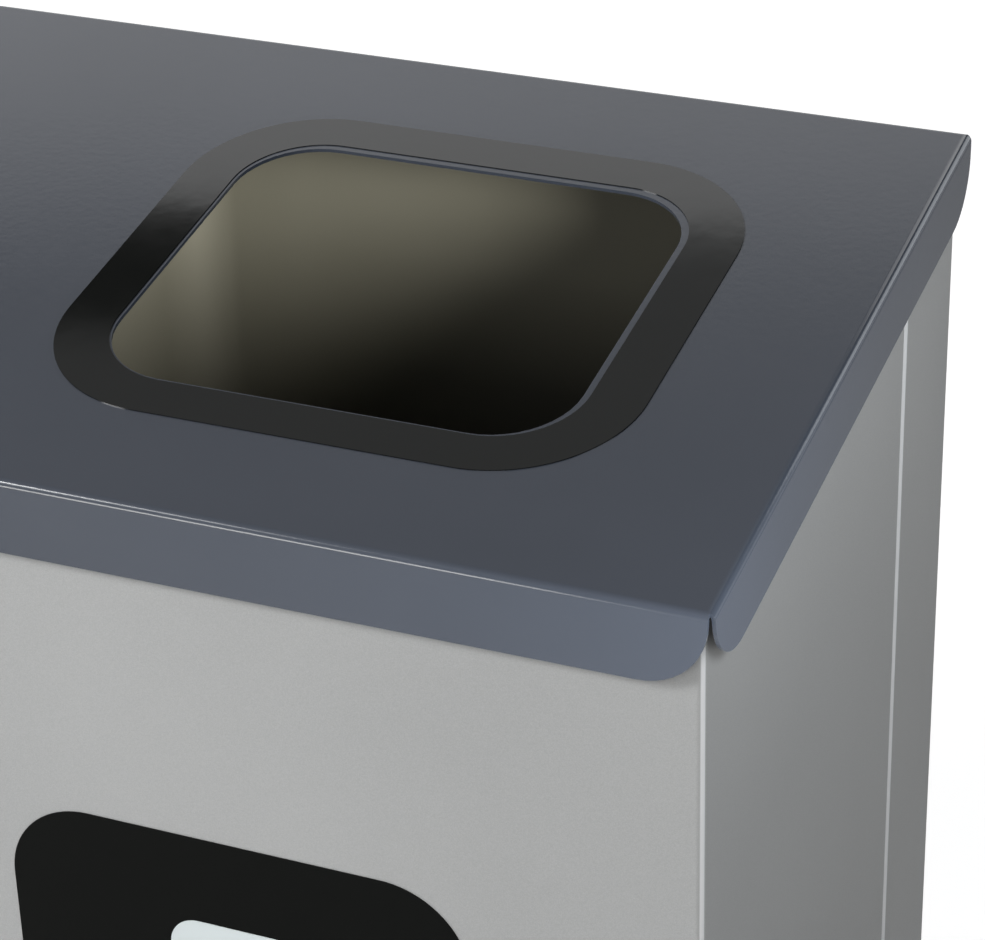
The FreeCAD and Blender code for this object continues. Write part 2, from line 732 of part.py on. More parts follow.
# --------------------------------------------------------------------------- inside
def make_liner(index):
    """Lift-out bin with a sloping rolled rim and a hand hole in each end."""
    body = new_body(f"liner_{STREAMS[index]}")
    x = stream_place(index, "compartment_pitch")
    name = f"liner_{index}_"

    def outline(title, grow, height, radius):
        sketch = new_sketch(body, name + title, "XY_Plane", height)
        add_rounded(
            sketch,
            f"{x} - sizes.liner_width / 2 - ({grow})",
            f"{x} + sizes.liner_width / 2 + ({grow})",
            f"layout.body_middle - sizes.liner_length / 2 - ({grow})",
            f"layout.body_middle + sizes.liner_length / 2 + ({grow})",
            radius,
        )
        return sketch

    rim = outline("rim", "sizes.liner_rim", "layout.liner_base", "sizes.liner_corner")
    pad(body, rim, "layout.too_high - layout.liner_base")
    cut_to_slope(body, name + "rim_top", "sizes.rim_depth")
    cut_to_slope(body, name + "rim_under", "sizes.rim_depth + sizes.rim_sheet", above=False)
    walls = outline("walls", "0", "layout.liner_base", "sizes.liner_corner - sizes.liner_rim")
    pad(body, walls, "layout.too_high - layout.liner_base")
    cut_to_slope(body, name + "wall_top", "sizes.rim_depth")
    hollow = outline(
        "hollow",
        "-sizes.liner_sheet",
        "layout.liner_base + sizes.liner_sheet",
        "sizes.liner_corner - sizes.liner_rim - sizes.liner_sheet",
    )
    pocket(body, hollow, "layout.too_high", upward=True)
    grips = new_sketch(body, name + "grips", "YZ_Plane", x)
    low = f"({slope_height('layout.body_front', 'sizes.rim_depth')} - sizes.grip_drop)"
    add_rounded(
        grips,
        "layout.body_middle - sizes.grip_length / 2",
        "layout.body_middle + sizes.grip_length / 2",
        f"{low} - sizes.grip_height",
        low,
        "sizes.grip_corner",
    )
    pocket(body, grips, "sizes.liner_width + 2 * sizes.liner_rim", symmetric=True)
    return body


def make_rail(index):
    """Inverted channel on the base tray that carries all three liners."""
    body = new_body(f"liner_rail_{'front' if index == 0 else 'rear'}")
    side = -1 if index == 0 else 1
    middle = f"(layout.body_middle + {side} * sizes.rail_spread / 2)"
    half, base, top = "sizes.rail_width / 2", "layout.tray_floor", "layout.liner_base"
    section = new_sketch(body, f"rail_{index}_section", "YZ_Plane")
    add_polygon(
        section,
        [
            (f"{middle} - {half}", base),
            (f"{middle} - {half}", top),
            (f"{middle} + {half}", top),
            (f"{middle} + {half}", base),
            (f"{middle} + {half} - sizes.skin", base),
            (f"{middle} + {half} - sizes.skin", f"{top} - sizes.skin"),
            (f"{middle} - {half} + sizes.skin", f"{top} - sizes.skin"),
            (f"{middle} - {half} + sizes.skin", base),
        ],
    )
    pad(body, section, "2 * (layout.inner_half - sizes.skin - sizes.rail_end_gap)", symmetric=True)
    return body


# --------------------------------------------------------------------------- labels
def make_label(index):
    """Square film on the front, one for each stream."""
    body = new_body(f"stream_label_{STREAMS[index]}")
    x = stream_place(index, "label_pitch")
    top = "(sizes.lid_front_height - sizes.label_drop)"
    sketch = new_sketch(body, f"label_{index}", "XZ_Plane", "-layout.body_front")
    add_rounded(
        sketch,
        f"{x} - sizes.label_side / 2",
        f"{x} + sizes.label_side / 2",
        f"{top} - sizes.label_side",
        top,
        "sizes.label_corner",
    )
    pad(body, sketch, "sizes.film")
    return body


def make_symbol(index):
    """White symbol on a label: a sheet of paper, a bottle or a litter bin."""
    body = new_body(f"stream_symbol_{STREAMS[index]}")
    x = stream_place(index, "label_pitch")
    top = "(sizes.lid_front_height - sizes.label_drop)"
    share = "sizes.label_side / 200"
    sketch = new_sketch(
        body, f"symbol_{index}", "XZ_Plane", "-(layout.body_front - sizes.film)"
    )

    def bar(left, right, high, low, radius):
        """A rounded bar, in two-hundredths of the label from its middle and its top edge."""
        add_rounded(
            sketch,
            f"{x} + {left} * {share}",
            f"{x} + {right} * {share}",
            f"{top} - {low} * {share}",
            f"{top} - {high} * {share}",
            f"{radius} * {share}",
        )

    if STREAMS[index] == "right":
        bar(-30, 30, 40, 70, 13)
        bar(-62, 62, 75, 87, 5)
        bar(-50, 50, 93, 166, 9)
        for slot in (-24, 0, 24):
            bar(slot - 4, slot + 4, 104, 154, 3.5)
    elif STREAMS[index] == "middle":
        bar(-13, 13, 36, 50, 4)
        bar(-10, 10, 54, 72, 3)
        bar(-28, 28, 76, 166, 12)
        bar(-19, 19, 100, 130, 4)
    else:
        bar(-44, 44, 40, 164, 12)
        for line in (64, 84, 104, 124):
            bar(-27, 27, line, line + 8, 3.5)
    feature = pad(body, sketch, "sizes.film")
    feature.AllowMultiFace = True
    doc.recompute()
    return body


# --------------------------------------------------------------------------- plain solids
def box(name, x, y, z, length, width, height):
    """A Part box from its lowest corner; every argument is an expression."""
    item = doc.addObject("Part::Box", name)
    for prop, expression in (
        ("Placement.Base.x", x),
        ("Placement.Base.y", y),
        ("Placement.Base.z", z),
        ("Length", length),
        ("Width", width),
        ("Height", height),
    ):
        item.setExpression(prop, expression)
    return item


def cylinder(name, x, y, z, radius, height, axis=Z_AXIS):
    """A Part cylinder that starts at x, y, z and runs along axis."""
    item = doc.addObject("Part::Cylinder", name)
    item.Placement = Placement(Vector(0, 0, 0), Rotation(Z_AXIS, axis))
    for prop, expression in (
        ("Placement.Base.x", x),
        ("Placement.Base.y", y),
        ("Placement.Base.z", z),
        ("Radius", radius),
        ("Height", height),
    ):
        item.setExpression(prop, expression)
    return item


def fuse(name, items):
    item = doc.addObject("Part::MultiFuse", name)
    item.Shapes = items
    item.Refine = True
    return item


def cut(name, base, tools):
    tool = tools[0] if len(tools) == 1 else fuse(name + "_tools", tools)
    item = doc.addObject("Part::Cut", name)
    item.Base = base
    item.Tool = tool
    return item


def group(name, items):
    """Separate solids that share one node."""
    item = doc.addObject("Part::Compound", name)
    item.Links = items
    return item


KNUCKLES = 5
HINGE_SIDES = ("left", "middle", "right")


def hinge_start(index):
    return f"({index - 1} * sizes.hinge_pitch - sizes.hinge_width / 2)"


def screw_places(index):
    """Expressions for the x of the two screws in a row on one hinge leaf."""
    middle = f"({index - 1} * sizes.hinge_pitch)"
    return [f"({middle} + {side} * sizes.screw_spacing / 2)" for side in (-1, 1)]


def fastener_height(moving):
    """Expression for the height of the moving leaf's rivets or the fixed leaf's screws."""
    return "(layout.axis_z + sizes.rivet_rise)" if moving else "(layout.axis_z - sizes.screw_drop)"


def make_leaf(index, moving):
    """One leaf of a butt hinge with its share of the knuckles, bored for the pin."""
    kind = "moving" if moving else "fixed"
    name = f"hinge_leaf_{kind}_{HINGE_SIDES[index]}"
    start = hinge_start(index)
    plate_y = "layout.rear_y"
    step = f"sizes.hinge_width / {KNUCKLES}"
    if moving:
        low, tall = "layout.axis_z", "sizes.upper_leaf_height"
    else:
        low, tall = "layout.axis_z - sizes.leaf_height", "sizes.leaf_height"
    solids = [box(name + "_plate", start, plate_y, low, "sizes.hinge_width", "sizes.leaf", tall)]
    gaps = []
    for k in range(KNUCKLES):
        x = f"{start} + {k} * {step} + sizes.knuckle_gap / 2"
        length = f"{step} - sizes.knuckle_gap"
        if (k % 2 == 1) == moving:
            solids.append(
                cylinder(
                    f"{name}_knuckle_{k}",
                    x,
                    "layout.axis_y",
                    "layout.axis_z",
                    "sizes.knuckle_radius",
                    length,
                    X_AXIS,
                )
            )
        else:
            reach = "2 * (sizes.knuckle_radius + sizes.knuckle_gap)"
            gaps.append(
                box(
                    f"{name}_gap_{k}",
                    f"{start} + {k} * {step} - sizes.knuckle_gap / 2",
                    f"layout.rear_y - {OVERCUT}",
                    f"layout.axis_z - {reach} / 2",
                    f"{step} + sizes.knuckle_gap",
                    f"{reach} + {OVERCUT}",
                    reach,
                )
            )
    bore = cylinder(
        name + "_bore",
        f"{start} - {OVERCUT}",
        "layout.axis_y",
        "layout.axis_z",
        "sizes.pin_radius + sizes.pin_play",
        f"sizes.hinge_width + {2 * OVERCUT}",
        X_AXIS,
    )
    height = fastener_height(moving)
    holes = [
        cylinder(
            f"{name}_hole_{k}",
            x,
            f"layout.rear_y - {OVERCUT}",
            height,
            "sizes.screw_radius + sizes.screw_play",
            f"sizes.leaf + {2 * OVERCUT}",
            Y_AXIS,
        )
        for k, x in enumerate(screw_places(index))
    ]
    return cut(name, fuse(name + "_blank", solids), gaps + [bore] + holes)


def make_pin(index):
    """Hinge pin, flush with the outer knuckles."""
    return cylinder(
        f"hinge_pin_{HINGE_SIDES[index]}",
        hinge_start(index) + " + sizes.knuckle_gap",
        "layout.axis_y",
        "layout.axis_z",
        "sizes.pin_radius",
        "sizes.hinge_width - 2 * sizes.knuckle_gap",
        X_AXIS,
    )


def make_packers():
    """Packing plates that bring the fixed leaves level with the lid's rear flange."""
    thickness = "layout.rear_y - layout.body_back"
    plates = []
    for k in range(len(HINGE_SIDES)):
        plate = box(
            f"packer_plate_{k}",
            hinge_start(k),
            "layout.body_back",
            "layout.axis_z - sizes.leaf_height",
            "sizes.hinge_width",
            thickness,
            "sizes.leaf_height - sizes.knuckle_radius - sizes.edge_room",
        )
        holes = [
            cylinder(
                f"packer_hole_{k}_{n}",
                x,
                f"layout.body_back - {OVERCUT}",
                fastener_height(False),
                "sizes.screw_radius + sizes.screw_play",
                f"{thickness} + {2 * OVERCUT}",
                Y_AXIS,
            )
            for n, x in enumerate(screw_places(k))
        ]
        plates.append(cut(f"packer_{k}", plate, holes))
    return group("hinge_packers", plates)


def make_screw(name, x, head_y, z, shank, head, outward):
    """Screw along Y with a domed head; outward is the side of head_y that the head is on, 1 or -1."""
    axis = Vector(0, -outward, 0)
    stem = cylinder(name + "_stem", x, head_y, z, "sizes.screw_radius", shank, axis)
    cap = doc.addObject("Part::Cone", name + "_cap")
    cap.Placement = Placement(Vector(0, 0, 0), Rotation(Z_AXIS, -axis))
    for prop, expression in (
        ("Placement.Base.x", x),
        ("Placement.Base.y", head_y),
        ("Placement.Base.z", z),
        ("Radius1", "sizes.screw_head"),
        ("Radius2", "sizes.screw_head * 0.6"),
        ("Height", head),
    ):
        cap.setExpression(prop, expression)
    return fuse(name, [stem, cap])


def make_hinge_screws(moving):
    """The rivets of all three moving leaves, or the screws of all three fixed leaves."""
    if moving:
        kind, reach = "rivet", "sizes.leaf + sizes.skin + sizes.rear_gap / 2"
    else:
        kind, reach = "screw", "layout.rear_y + sizes.leaf - layout.body_back + 2 * sizes.skin"
    items = []
    for k in range(len(HINGE_SIDES)):
        for n, x in enumerate(screw_places(k)):
            items.append(
                make_screw(
                    f"hinge_{kind}_{k}_{n}",
                    x,
                    "layout.rear_y + sizes.leaf",
                    fastener_height(moving),
                    reach,
                    "sizes.screw_head_height",
                    1,
                )
            )
    return group("hinge_rivets_lid" if moving else "hinge_screws_body", items)


def drill(body, level, outer_face):
    """Clearance holes for the hinge fasteners at height level in the body's own frame."""
    holes = new_sketch(body, body.Name + "_hinge_holes", "XZ_Plane", f"-({outer_face} + {OVERCUT})")
    for k in range(len(HINGE_SIDES)):
        for x in screw_places(k):
            add_circle(holes, x, level, "sizes.screw_radius + 2 * sizes.screw_play")
    pocket(body, holes, f"sizes.flange_drop * tan(sizes.lid_angle) + {3 * OVERCUT}", upward=True)


def make_seam_screws():
    """The screws that join the two shells through their lips, heads towards the front."""
    items = []
    for side in (-1, 1):
        for row in range(SCREW_ROWS):
            items.append(
                make_screw(
                    f"seam_screw_{'left' if side < 0 else 'right'}_{row}",
                    f"{side} * (layout.inner_half - sizes.seam_lip / 2)",
                    "layout.seam - sizes.seam_gap / 2 - sizes.skin",
                    screw_height(row),
                    "2 * sizes.skin + sizes.seam_gap + sizes.seam_screw_end",
                    "sizes.seam_head_height",
                    -1,
                )
            )
    return group("seam_screws", items)


def make_buffers():
    """Rubber buffers on the top frame that the closed lid rests on."""
    items = []
    for side in (-1, 1):
        for place, y in (
            ("front", "layout.inner_front + sizes.buffer_inset"),
            ("rear", "layout.inner_back - sizes.buffer_inset"),
        ):
            x = f"{side} * (layout.inner_half - sizes.frame_play - sizes.buffer_radius)"
            bottom = slope_height(y, "sizes.frame_depth")
            item = cylinder(
                f"buffer_{place}_{side}",
                x,
                y,
                bottom,
                "sizes.buffer_radius",
                "sizes.frame_depth - sizes.skin - sizes.buffer_gap",
            )
            item.Placement = Placement(Vector(0, 0, 0), Rotation(X_AXIS, number("sizes.lid_angle")))
            item.setExpression("Placement.Rotation.Angle", "sizes.lid_angle")
            items.append(item)
    return group("lid_buffers", items)


# --------------------------------------------------------------------------- feet
FEET = (
    ("front_left", -1, "layout.foot_front"),
    ("front_right", 1, "layout.foot_front"),
    ("rear_left", -1, "layout.foot_back"),
    ("rear_right", 1, "layout.foot_back"),
)


def make_foot_pad(place, side, y):
    """Moulded pad, turned to a shallow dome, with a socket for the stud's end."""
    body = new_body(f"foot_pad_{place}")
    body.setExpression("Placement.Base.x", f"{side} * layout.foot_x")
    body.setExpression("Placement.Base.y", y)
    section = new_sketch(body, f"foot_section_{place}", "XZ_Plane")
    wide, tall = "sizes.foot_radius", "sizes.foot_pad_height"
    bore = "sizes.stud_radius + sizes.stud_play"
    add_polygon(
        section,
        [
            ("0", "0"),
            (wide, "0"),
            (wide, "sizes.foot_rim"),
            ("sizes.foot_neck", tall),
            (bore, tall),
            (bore, "sizes.foot_socket"),
            ("0", "sizes.foot_socket"),
        ],
    )
    turned = body.newObject("PartDesign::Revolution", f"foot_turned_{place}")
    turned.Profile = section
    turned.ReferenceAxis = (section, ["V_Axis"])
    turned.Angle = 360
    doc.recompute()
    rim = number("sizes.foot_radius")

    def top_of_rim(edge):
        return edge.BoundBox.XMax > rim - 0.01 and edge.BoundBox.ZMin > 1 and edge.Length > rim

    fillet(body, top_of_rim, "sizes.foot_round")
    return body


def hexagon(name, x, y, z, radius, height):
    """An upright hexagonal prism that starts at x, y, z."""
    item = doc.addObject("Part::Prism", name)
    item.Polygon = 6
    for prop, expression in (
        ("Placement.Base.x", x),
        ("Placement.Base.y", y),
        ("Placement.Base.z", z),
        ("Circumradius", radius),
        ("Height", height),
    ):
        item.setExpression(prop, expression)
    return item


def make_foot_stud(place, side, y):
    """Threaded stud with a hexagon for the spanner, seated in its pad."""
    x = f"{side} * layout.foot_x"
    stem = cylinder(
        f"foot_stem_{place}",
        x,
        y,
        "sizes.foot_socket",
        "sizes.stud_radius",
        "sizes.foot_height + sizes.stud_rise",
    )
    grip = hexagon(
        f"foot_hexagon_{place}",
        x,
        y,
        "sizes.foot_pad_height + sizes.hexagon_gap",
        "sizes.hexagon_radius",
        "sizes.hexagon_height",
    )
    return fuse(f"foot_stud_{place}", [stem, grip])


def make_foot_nuts():
    """Weld nuts on the base tray, one over each foot."""
    items = []
    for place, side, y in FEET:
        x = f"{side} * layout.foot_x"
        nut = hexagon(
            f"weld_nut_{place}",
            x,
            y,
            "layout.tray_floor",
            "sizes.weld_nut_radius",
            "sizes.weld_nut_height",
        )
        bore = cylinder(
            f"weld_nut_bore_{place}",
            x,
            y,
            f"layout.tray_floor - {OVERCUT}",
            "sizes.stud_radius + sizes.stud_play",
            f"sizes.weld_nut_height + {2 * OVERCUT}",
        )
        items.append(cut(f"weld_nut_bored_{place}", nut, [bore]))
    return group("foot_nuts", items)


# --------------------------------------------------------------------------- the station
def build():
    """Every node of the station, by the name that it is saved under."""
    lid = make_lid()
    rear_edge = "(sizes.lid_front_height + sizes.lid_length * sin(sizes.lid_angle))"
    level = f"({fastener_height(True)} - {rear_edge}) / cos(sizes.lid_angle)"
    drill(lid, level, "sizes.lid_length")
    front = "layout.body_front"
    seam_front, seam_back = "layout.seam - sizes.seam_gap / 2", "layout.seam + sizes.seam_gap / 2"
    front_shell = make_shell(
        "front_shell",
        front,
        seam_front,
        f"{seam_front} - sizes.skin - sizes.bend_radius",
        f"{seam_front} + sizes.edge_room",
    )
    back_panel = make_shell(
        "back_panel",
        seam_back,
        "layout.body_back",
        f"{seam_back} - sizes.edge_room",
        f"{seam_back} + sizes.skin + sizes.bend_radius",
    )
    drill(back_panel, fastener_height(False), "layout.body_back")
    items = [lid, front_shell, back_panel, make_tray(), make_top_frame()]
    for k in range(len(STREAMS)):
        items += [make_surround(k), make_label(k), make_symbol(k), make_liner(k)]
        items += [make_leaf(k, moving=False), make_leaf(k, moving=True), make_pin(k)]
    for k in range(2):
        items += [make_rib(k), make_divider(k), make_rail(k)]
    items += [make_packers(), make_hinge_screws(False), make_hinge_screws(True)]
    items += [make_seam_screws(), make_buffers(), make_foot_nuts()]
    for place, side, y in FEET:
        items += [make_foot_pad(place, side, y), make_foot_stud(place, side, y)]
    doc.recompute()
    return items


def save(items):
    """Checks every object of the document, then writes one STEP file for each node."""
    failed = [o.Name for o in doc.Objects if {"Invalid", "Error"} & set(o.State)]
    failed += [o.Label for o in items if o.Shape.isNull() or not o.Shape.isValid()]
    if failed:
        raise RuntimeError(f"these objects failed: {sorted(set(failed))}")
    os.makedirs("parts", exist_ok=True)
    for item in items:
        item.Shape.exportStep(f"parts/{item.Label}.step")
        print(f"{item.Label}: {len(item.Shape.Solids)} solid(s), {item.Shape.Volume / 1000:.1f} cm3")


save(build())
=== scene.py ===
# %% [markdown]
# # A recycling bin station, dressed for the studio
#
# The station is a silver sheet-steel cabinet under one long anthracite lid that slopes to the front.
# The lid has a rounded drop opening over each waste stream, with a glossy film border round it.
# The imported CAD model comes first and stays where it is: its solids give the places and sizes here.
# Some of its solids only need a good finish. Others are modelled again below, with more detail.

# %% The frame and the helpers' modules
import json
import math

import bmesh
import bpy
from mathutils import Euler, Matrix, Vector


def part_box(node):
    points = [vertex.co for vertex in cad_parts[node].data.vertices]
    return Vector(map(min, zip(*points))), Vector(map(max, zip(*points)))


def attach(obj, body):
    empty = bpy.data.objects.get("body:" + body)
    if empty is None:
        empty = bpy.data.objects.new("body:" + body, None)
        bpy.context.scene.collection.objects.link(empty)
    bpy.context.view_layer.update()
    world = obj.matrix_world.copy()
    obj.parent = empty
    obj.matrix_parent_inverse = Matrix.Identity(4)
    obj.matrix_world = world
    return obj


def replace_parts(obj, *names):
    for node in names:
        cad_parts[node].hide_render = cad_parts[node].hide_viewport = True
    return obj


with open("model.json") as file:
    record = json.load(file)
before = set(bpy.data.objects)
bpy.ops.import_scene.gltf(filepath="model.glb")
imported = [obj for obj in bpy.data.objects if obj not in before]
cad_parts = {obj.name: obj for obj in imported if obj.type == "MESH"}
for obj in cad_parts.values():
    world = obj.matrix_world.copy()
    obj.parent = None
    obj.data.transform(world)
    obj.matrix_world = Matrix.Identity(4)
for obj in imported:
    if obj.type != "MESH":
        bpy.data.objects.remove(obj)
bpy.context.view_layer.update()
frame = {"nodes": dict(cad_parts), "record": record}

MM = 0.001
NODES = frame["nodes"]

# %% [markdown]
# ## Where things are
#
# Places are read from the boxes of the CAD nodes. What a box can't tell is repeated from the CAD's
# driving sizes where it is first needed, such as the lid's slope, the height of its front edge and
# the radius of a fold here. The record says which body carries each node and which slot it has.

# %% Places, bodies and slots
LID_SLOPE = math.radians(9)
LID_FRONT_TOP = 850 * MM
FOLD = 3.5 * MM
lid_low, lid_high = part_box("lid")
LID_HALF = lid_high.x
LID_FRONT = lid_low.y
STREAMS = ("left", "middle", "right")
CORNERS = ("front_left", "front_right", "rear_left", "rear_right")
SLOTS = {part["node"]: part["material_slot"] for part in frame["record"]["subparts"]}
BODIES = {
    node: body for body, nodes in frame["record"]["behaviour"]["bodies"].items() for node in nodes
}
print("the lid is", round(2 * LID_HALF, 4), "m wide, its front edge at y =", round(LID_FRONT, 4))

# %% [markdown]
# ## Shader maths that reads like maths
#
# A material is a network of nodes, and a formula in it takes many Math nodes. This small class wraps
# one output socket, so that a formula is written as Python and each sign adds its Math node.


# %% One wire of a material
class Wire:
    """An output socket that can be added, taken away and multiplied."""

    def __init__(self, finish, socket):
        self.finish = finish
        self.socket = socket

    def _maths(self, operation, first, second):
        return self.finish.node("ShaderNodeMath", {"operation": operation}, {0: first, 1: second})

    def __add__(self, other):
        return self._maths("ADD", self, other)

    __radd__ = __add__

    def __sub__(self, other):
        return self._maths("SUBTRACT", self, other)

    def __rsub__(self, other):
        return self._maths("SUBTRACT", other, self)

    def __mul__(self, other):
        return self._maths("MULTIPLY", self, other)

    __rmul__ = __mul__

    def __abs__(self):
        return self.finish.node("ShaderNodeMath", {"operation": "ABSOLUTE"}, {0: self})


# %% [markdown]
# ## One finish, made of nodes
#
# Every other kind of node comes from one method, which sets the node up first and joins its inputs
# next. The few kinds that the finishes share get a short method each: noise, a colour ramp, a mix of
# two colours, a smooth step and a bump. Numbers that don't change over a surface stay on the shader.


# %% One finish
class Finish:
    """A material with a Principled shader, and the one method that adds any other node."""

    def __init__(self, name, **constants):
        self.material = bpy.data.materials.new(name)
        self.material.use_nodes = True
        self.tree = self.material.node_tree
        self.shader = self.tree.nodes["Principled BSDF"]
        self.place = self.node("ShaderNodeTexCoord", output="Object")
        for words, value in constants.items():
            self.shader.inputs[words.replace("_", " ")].default_value = value

    def node(self, kind, settings=None, inputs=None, output=0):
        """Adds a node, sets it up, joins its inputs, and returns the wire of one output."""
        made = self.tree.nodes.new(kind)
        for name, value in (settings or {}).items():
            if name == "stops":
                self._ramp(made.color_ramp, value)
            else:
                setattr(made, name, value)
        for key, value in (inputs or {}).items():
            if isinstance(value, Wire):
                self.tree.links.new(value.socket, made.inputs[key])
            else:
                made.inputs[key].default_value = value
        return Wire(self, made.outputs[output])

    def _ramp(self, ramp, stops):
        while len(ramp.elements) < len(stops):
            ramp.elements.new(0.5)
        for element, (position, colour) in zip(ramp.elements, stops):
            element.position = position
            element.color = (*colour, 1)

    def axis(self, number):
        """How far along x, y or z the place is: 0, 1 or 2."""
        return self.node("ShaderNodeSeparateXYZ", None, {0: self.place}, output=number)

    def step(self, value, start, end):
        """0 where value is at start, 1 at end, and smooth between them."""
        limits = {"Value": value, "From Min": start, "From Max": end}
        return self.node("ShaderNodeMapRange", {"interpolation_type": "SMOOTHSTEP"}, limits)

    def noise(self, scale, detail=2.0, roughness=0.5, at=None):
        """Cloudy noise of so many cells to a metre."""
        values = {"Vector": at or self.place, "Scale": scale, "Detail": detail, "Roughness": roughness}
        return self.node("ShaderNodeTexNoise", None, values)

    def ramp(self, factor, stops):
        """A colour picked by factor from (position, colour) stops."""
        return self.node("ShaderNodeValToRGB", {"stops": stops}, {"Fac": factor})

    def between(self, factor, first, second):
        """A colour between first and second."""
        pair = {0: factor, 6: first, 7: second}
        return self.node("ShaderNodeMix", {"data_type": "RGBA"}, pair, output=2)

    def stretched(self, x, y, z):
        """The place on the object, counted in unequal steps along the three axes."""
        scale = {"Vector": self.place, "Scale": (x, y, z)}
        return self.node("ShaderNodeMapping", None, scale)

    def bump(self, height, distance, strength):
        """A surface that rises and falls with height, by distance at the most."""
        values = {"Height": height, "Distance": distance, "Strength": strength}
        return self.node("ShaderNodeBump", None, values)

    def set(self, **wires):
        """Joins wires to the shader's own sockets, such as Base_Color or Roughness."""
        for words, wire in wires.items():
            self.tree.links.new(wire.socket, self.shader.inputs[words.replace("_", " ")])
        return self


# %% [markdown]
# ## The camera
#
# The view is a close look down on the lid's front right corner with a long lens, so that upright
# lines stay nearly parallel. The camera's place is counted from that corner. Three plain angles give
# its turn, which are easier to adjust than a matrix: how far it is turned, how far it looks down, and
# how far the horizon tips.

# %% Camera
CAMERA_PLACE = Vector((LID_HALF, LID_FRONT, LID_FRONT_TOP)) + Vector((321.9, -925.1, 596.9)) * MM
CAMERA_TURN = math.radians(23.55)
CAMERA_DOWN = math.radians(28.78)
CAMERA_TIP = math.radians(1.71)
LENS = 121.3
SENSOR_WIDTH = 36

camera_data = bpy.data.cameras.new("studio_camera")
camera_data.sensor_width = SENSOR_WIDTH
camera_data.lens = LENS
camera_data.clip_end = 100
camera = bpy.data.objects.new("studio_camera", camera_data)
bpy.context.scene.collection.objects.link(camera)
turned = Euler((math.pi / 2 - CAMERA_DOWN, 0, CAMERA_TURN)).to_matrix()
tipped = turned @ Matrix.Rotation(-CAMERA_TIP, 3, "Z")
camera.matrix_world = Matrix.Translation(CAMERA_PLACE) @ tipped.to_4x4()
bpy.context.scene.camera = camera
print("the camera stands at", [round(v, 3) for v in CAMERA_PLACE])

# %% [markdown]
# ## The studio's air
#
# Semi-gloss paint shows what is round it, so the surroundings are planned for their reflections
# first. A bright wall behind the station reaches not quite halfway up, and the lid mirrors its upper
# edge: bright towards the back of the lid, dark towards the front. Low on its left the ceiling goes
# dark, which gives a film border its deep black end. Real cards could stand there, but painting the
# world by direction lights evenly and without noise. The camera itself looks past all this at a plain
# white backdrop: a Light Path node tells its rays from the mirrored ones.


# %% The surroundings, painted by direction
class Air(Finish):
    """The world's own network, with the same ways to add nodes as a finish."""

    def __init__(self, name):
        self.world = bpy.data.worlds.new(name)
        self.world.use_nodes = True
        self.tree = self.world.node_tree
        self.background = self.tree.nodes["Background"]
        self.place = self.node("ShaderNodeTexCoord", output="Generated")


WALL_LIGHT = 1.3
CEILING_LIGHT = 0.32
CORNER_DARKNESS = 0.97
FRONT_LIGHT = 0.3
RIGHT_LIGHT = 0.1
FRONT_RIGHT_LOSS = 0.2
BACKDROP_LIGHT = 1.05
AIR_COLOUR = (0.985, 0.99, 1.0, 1)
WALL_RISE = 0.907
WALL_TIP = 0.13

air = Air("studio_air")
across, back, up = (air.axis(number) for number in range(3))
over_wall = up - back * WALL_RISE + across * WALL_TIP
above = air.step(over_wall, -0.004, 0.004)
dark_corner = air.step(over_wall, 0.058, 0.046) * air.step(across, -0.405, -0.425)
ceiling = CEILING_LIGHT * (1 - dark_corner * CORNER_DARKNESS)
behind = WALL_LIGHT - above * (WALL_LIGHT - ceiling)
rightness = air.step(across, -0.15, 0.15)
sides = behind * (1 - rightness) + rightness * RIGHT_LIGHT
frontness = air.step(back, 0.05, -0.15)
brightness = sides * (1 - frontness) + frontness * (FRONT_LIGHT - rightness * FRONT_RIGHT_LOSS)
seen = air.node("ShaderNodeLightPath", output="Is Camera Ray")
strength = brightness * (1 - seen) + seen * BACKDROP_LIGHT
air.tree.links.new(strength.socket, air.background.inputs["Strength"])
air.background.inputs["Color"].default_value = AIR_COLOUR
bpy.context.scene.world = air.world
bpy.context.scene.view_settings.view_transform = "Standard"
print("the air has", len(air.tree.nodes), "nodes")

# %% [markdown]
# ## Soft lights
#
# Each lamp is a rectangle, because a large lamp close by gives soft shadows. A key and a fill stand
# in front for the silver cabinet, and a small lamp close to its side fades downwards. Two light the
# lid's hanging edges, two draw the thread of light along its folds, and two slant into the openings.


# %% Lamps
def soft_light(name, stands, faces, size, watts, colour=(1, 1, 1)):
    """A rectangular lamp that stands at one place and faces another."""
    data = bpy.data.lights.new(name, "AREA")
    data.shape = "RECTANGLE"
    data.size, data.size_y = size
    data.energy = watts
    data.color = colour
    light = bpy.data.objects.new(name, data)
    aim = (Vector(faces) - Vector(stands)).to_track_quat("-Z", "Y")
    light.matrix_world = Matrix.Translation(stands) @ aim.to_matrix().to_4x4()
    bpy.context.scene.collection.objects.link(light)
    return light


LINER_WARMTH = (1, 0.97, 0.88)
LID_MOUTH = (0.37, 0, 0.88)
key = soft_light(
    "key",
    stands=(0.62, -2.3, 2.3),
    faces=(0.3, 0, 0.75),
    size=(0.9, 0.9),
    watts=20,
    colour=(1, 0.99, 0.97),
)
fill = soft_light(
    "front_fill",
    stands=(-1.2, -1.5, 2.1),
    faces=(0.1, 0, 0.8),
    size=(0.7, 0.7),
    watts=55,
)
side_glow = soft_light(
    "side_glow",
    stands=(0.83, -0.12, 1.08),
    faces=(0.56, 0.0, 0.82),
    size=(0.2, 0.2),
    watts=1.15,
    colour=(0.93, 0.97, 1),
)
corner_glow = soft_light(
    "corner_glow",
    stands=(0.85, -0.34, 0.84),
    faces=(0.56, -0.1, 0.84),
    size=(0.2, 0.2),
    watts=3.3,
    colour=(0.84, 0.92, 1),
)
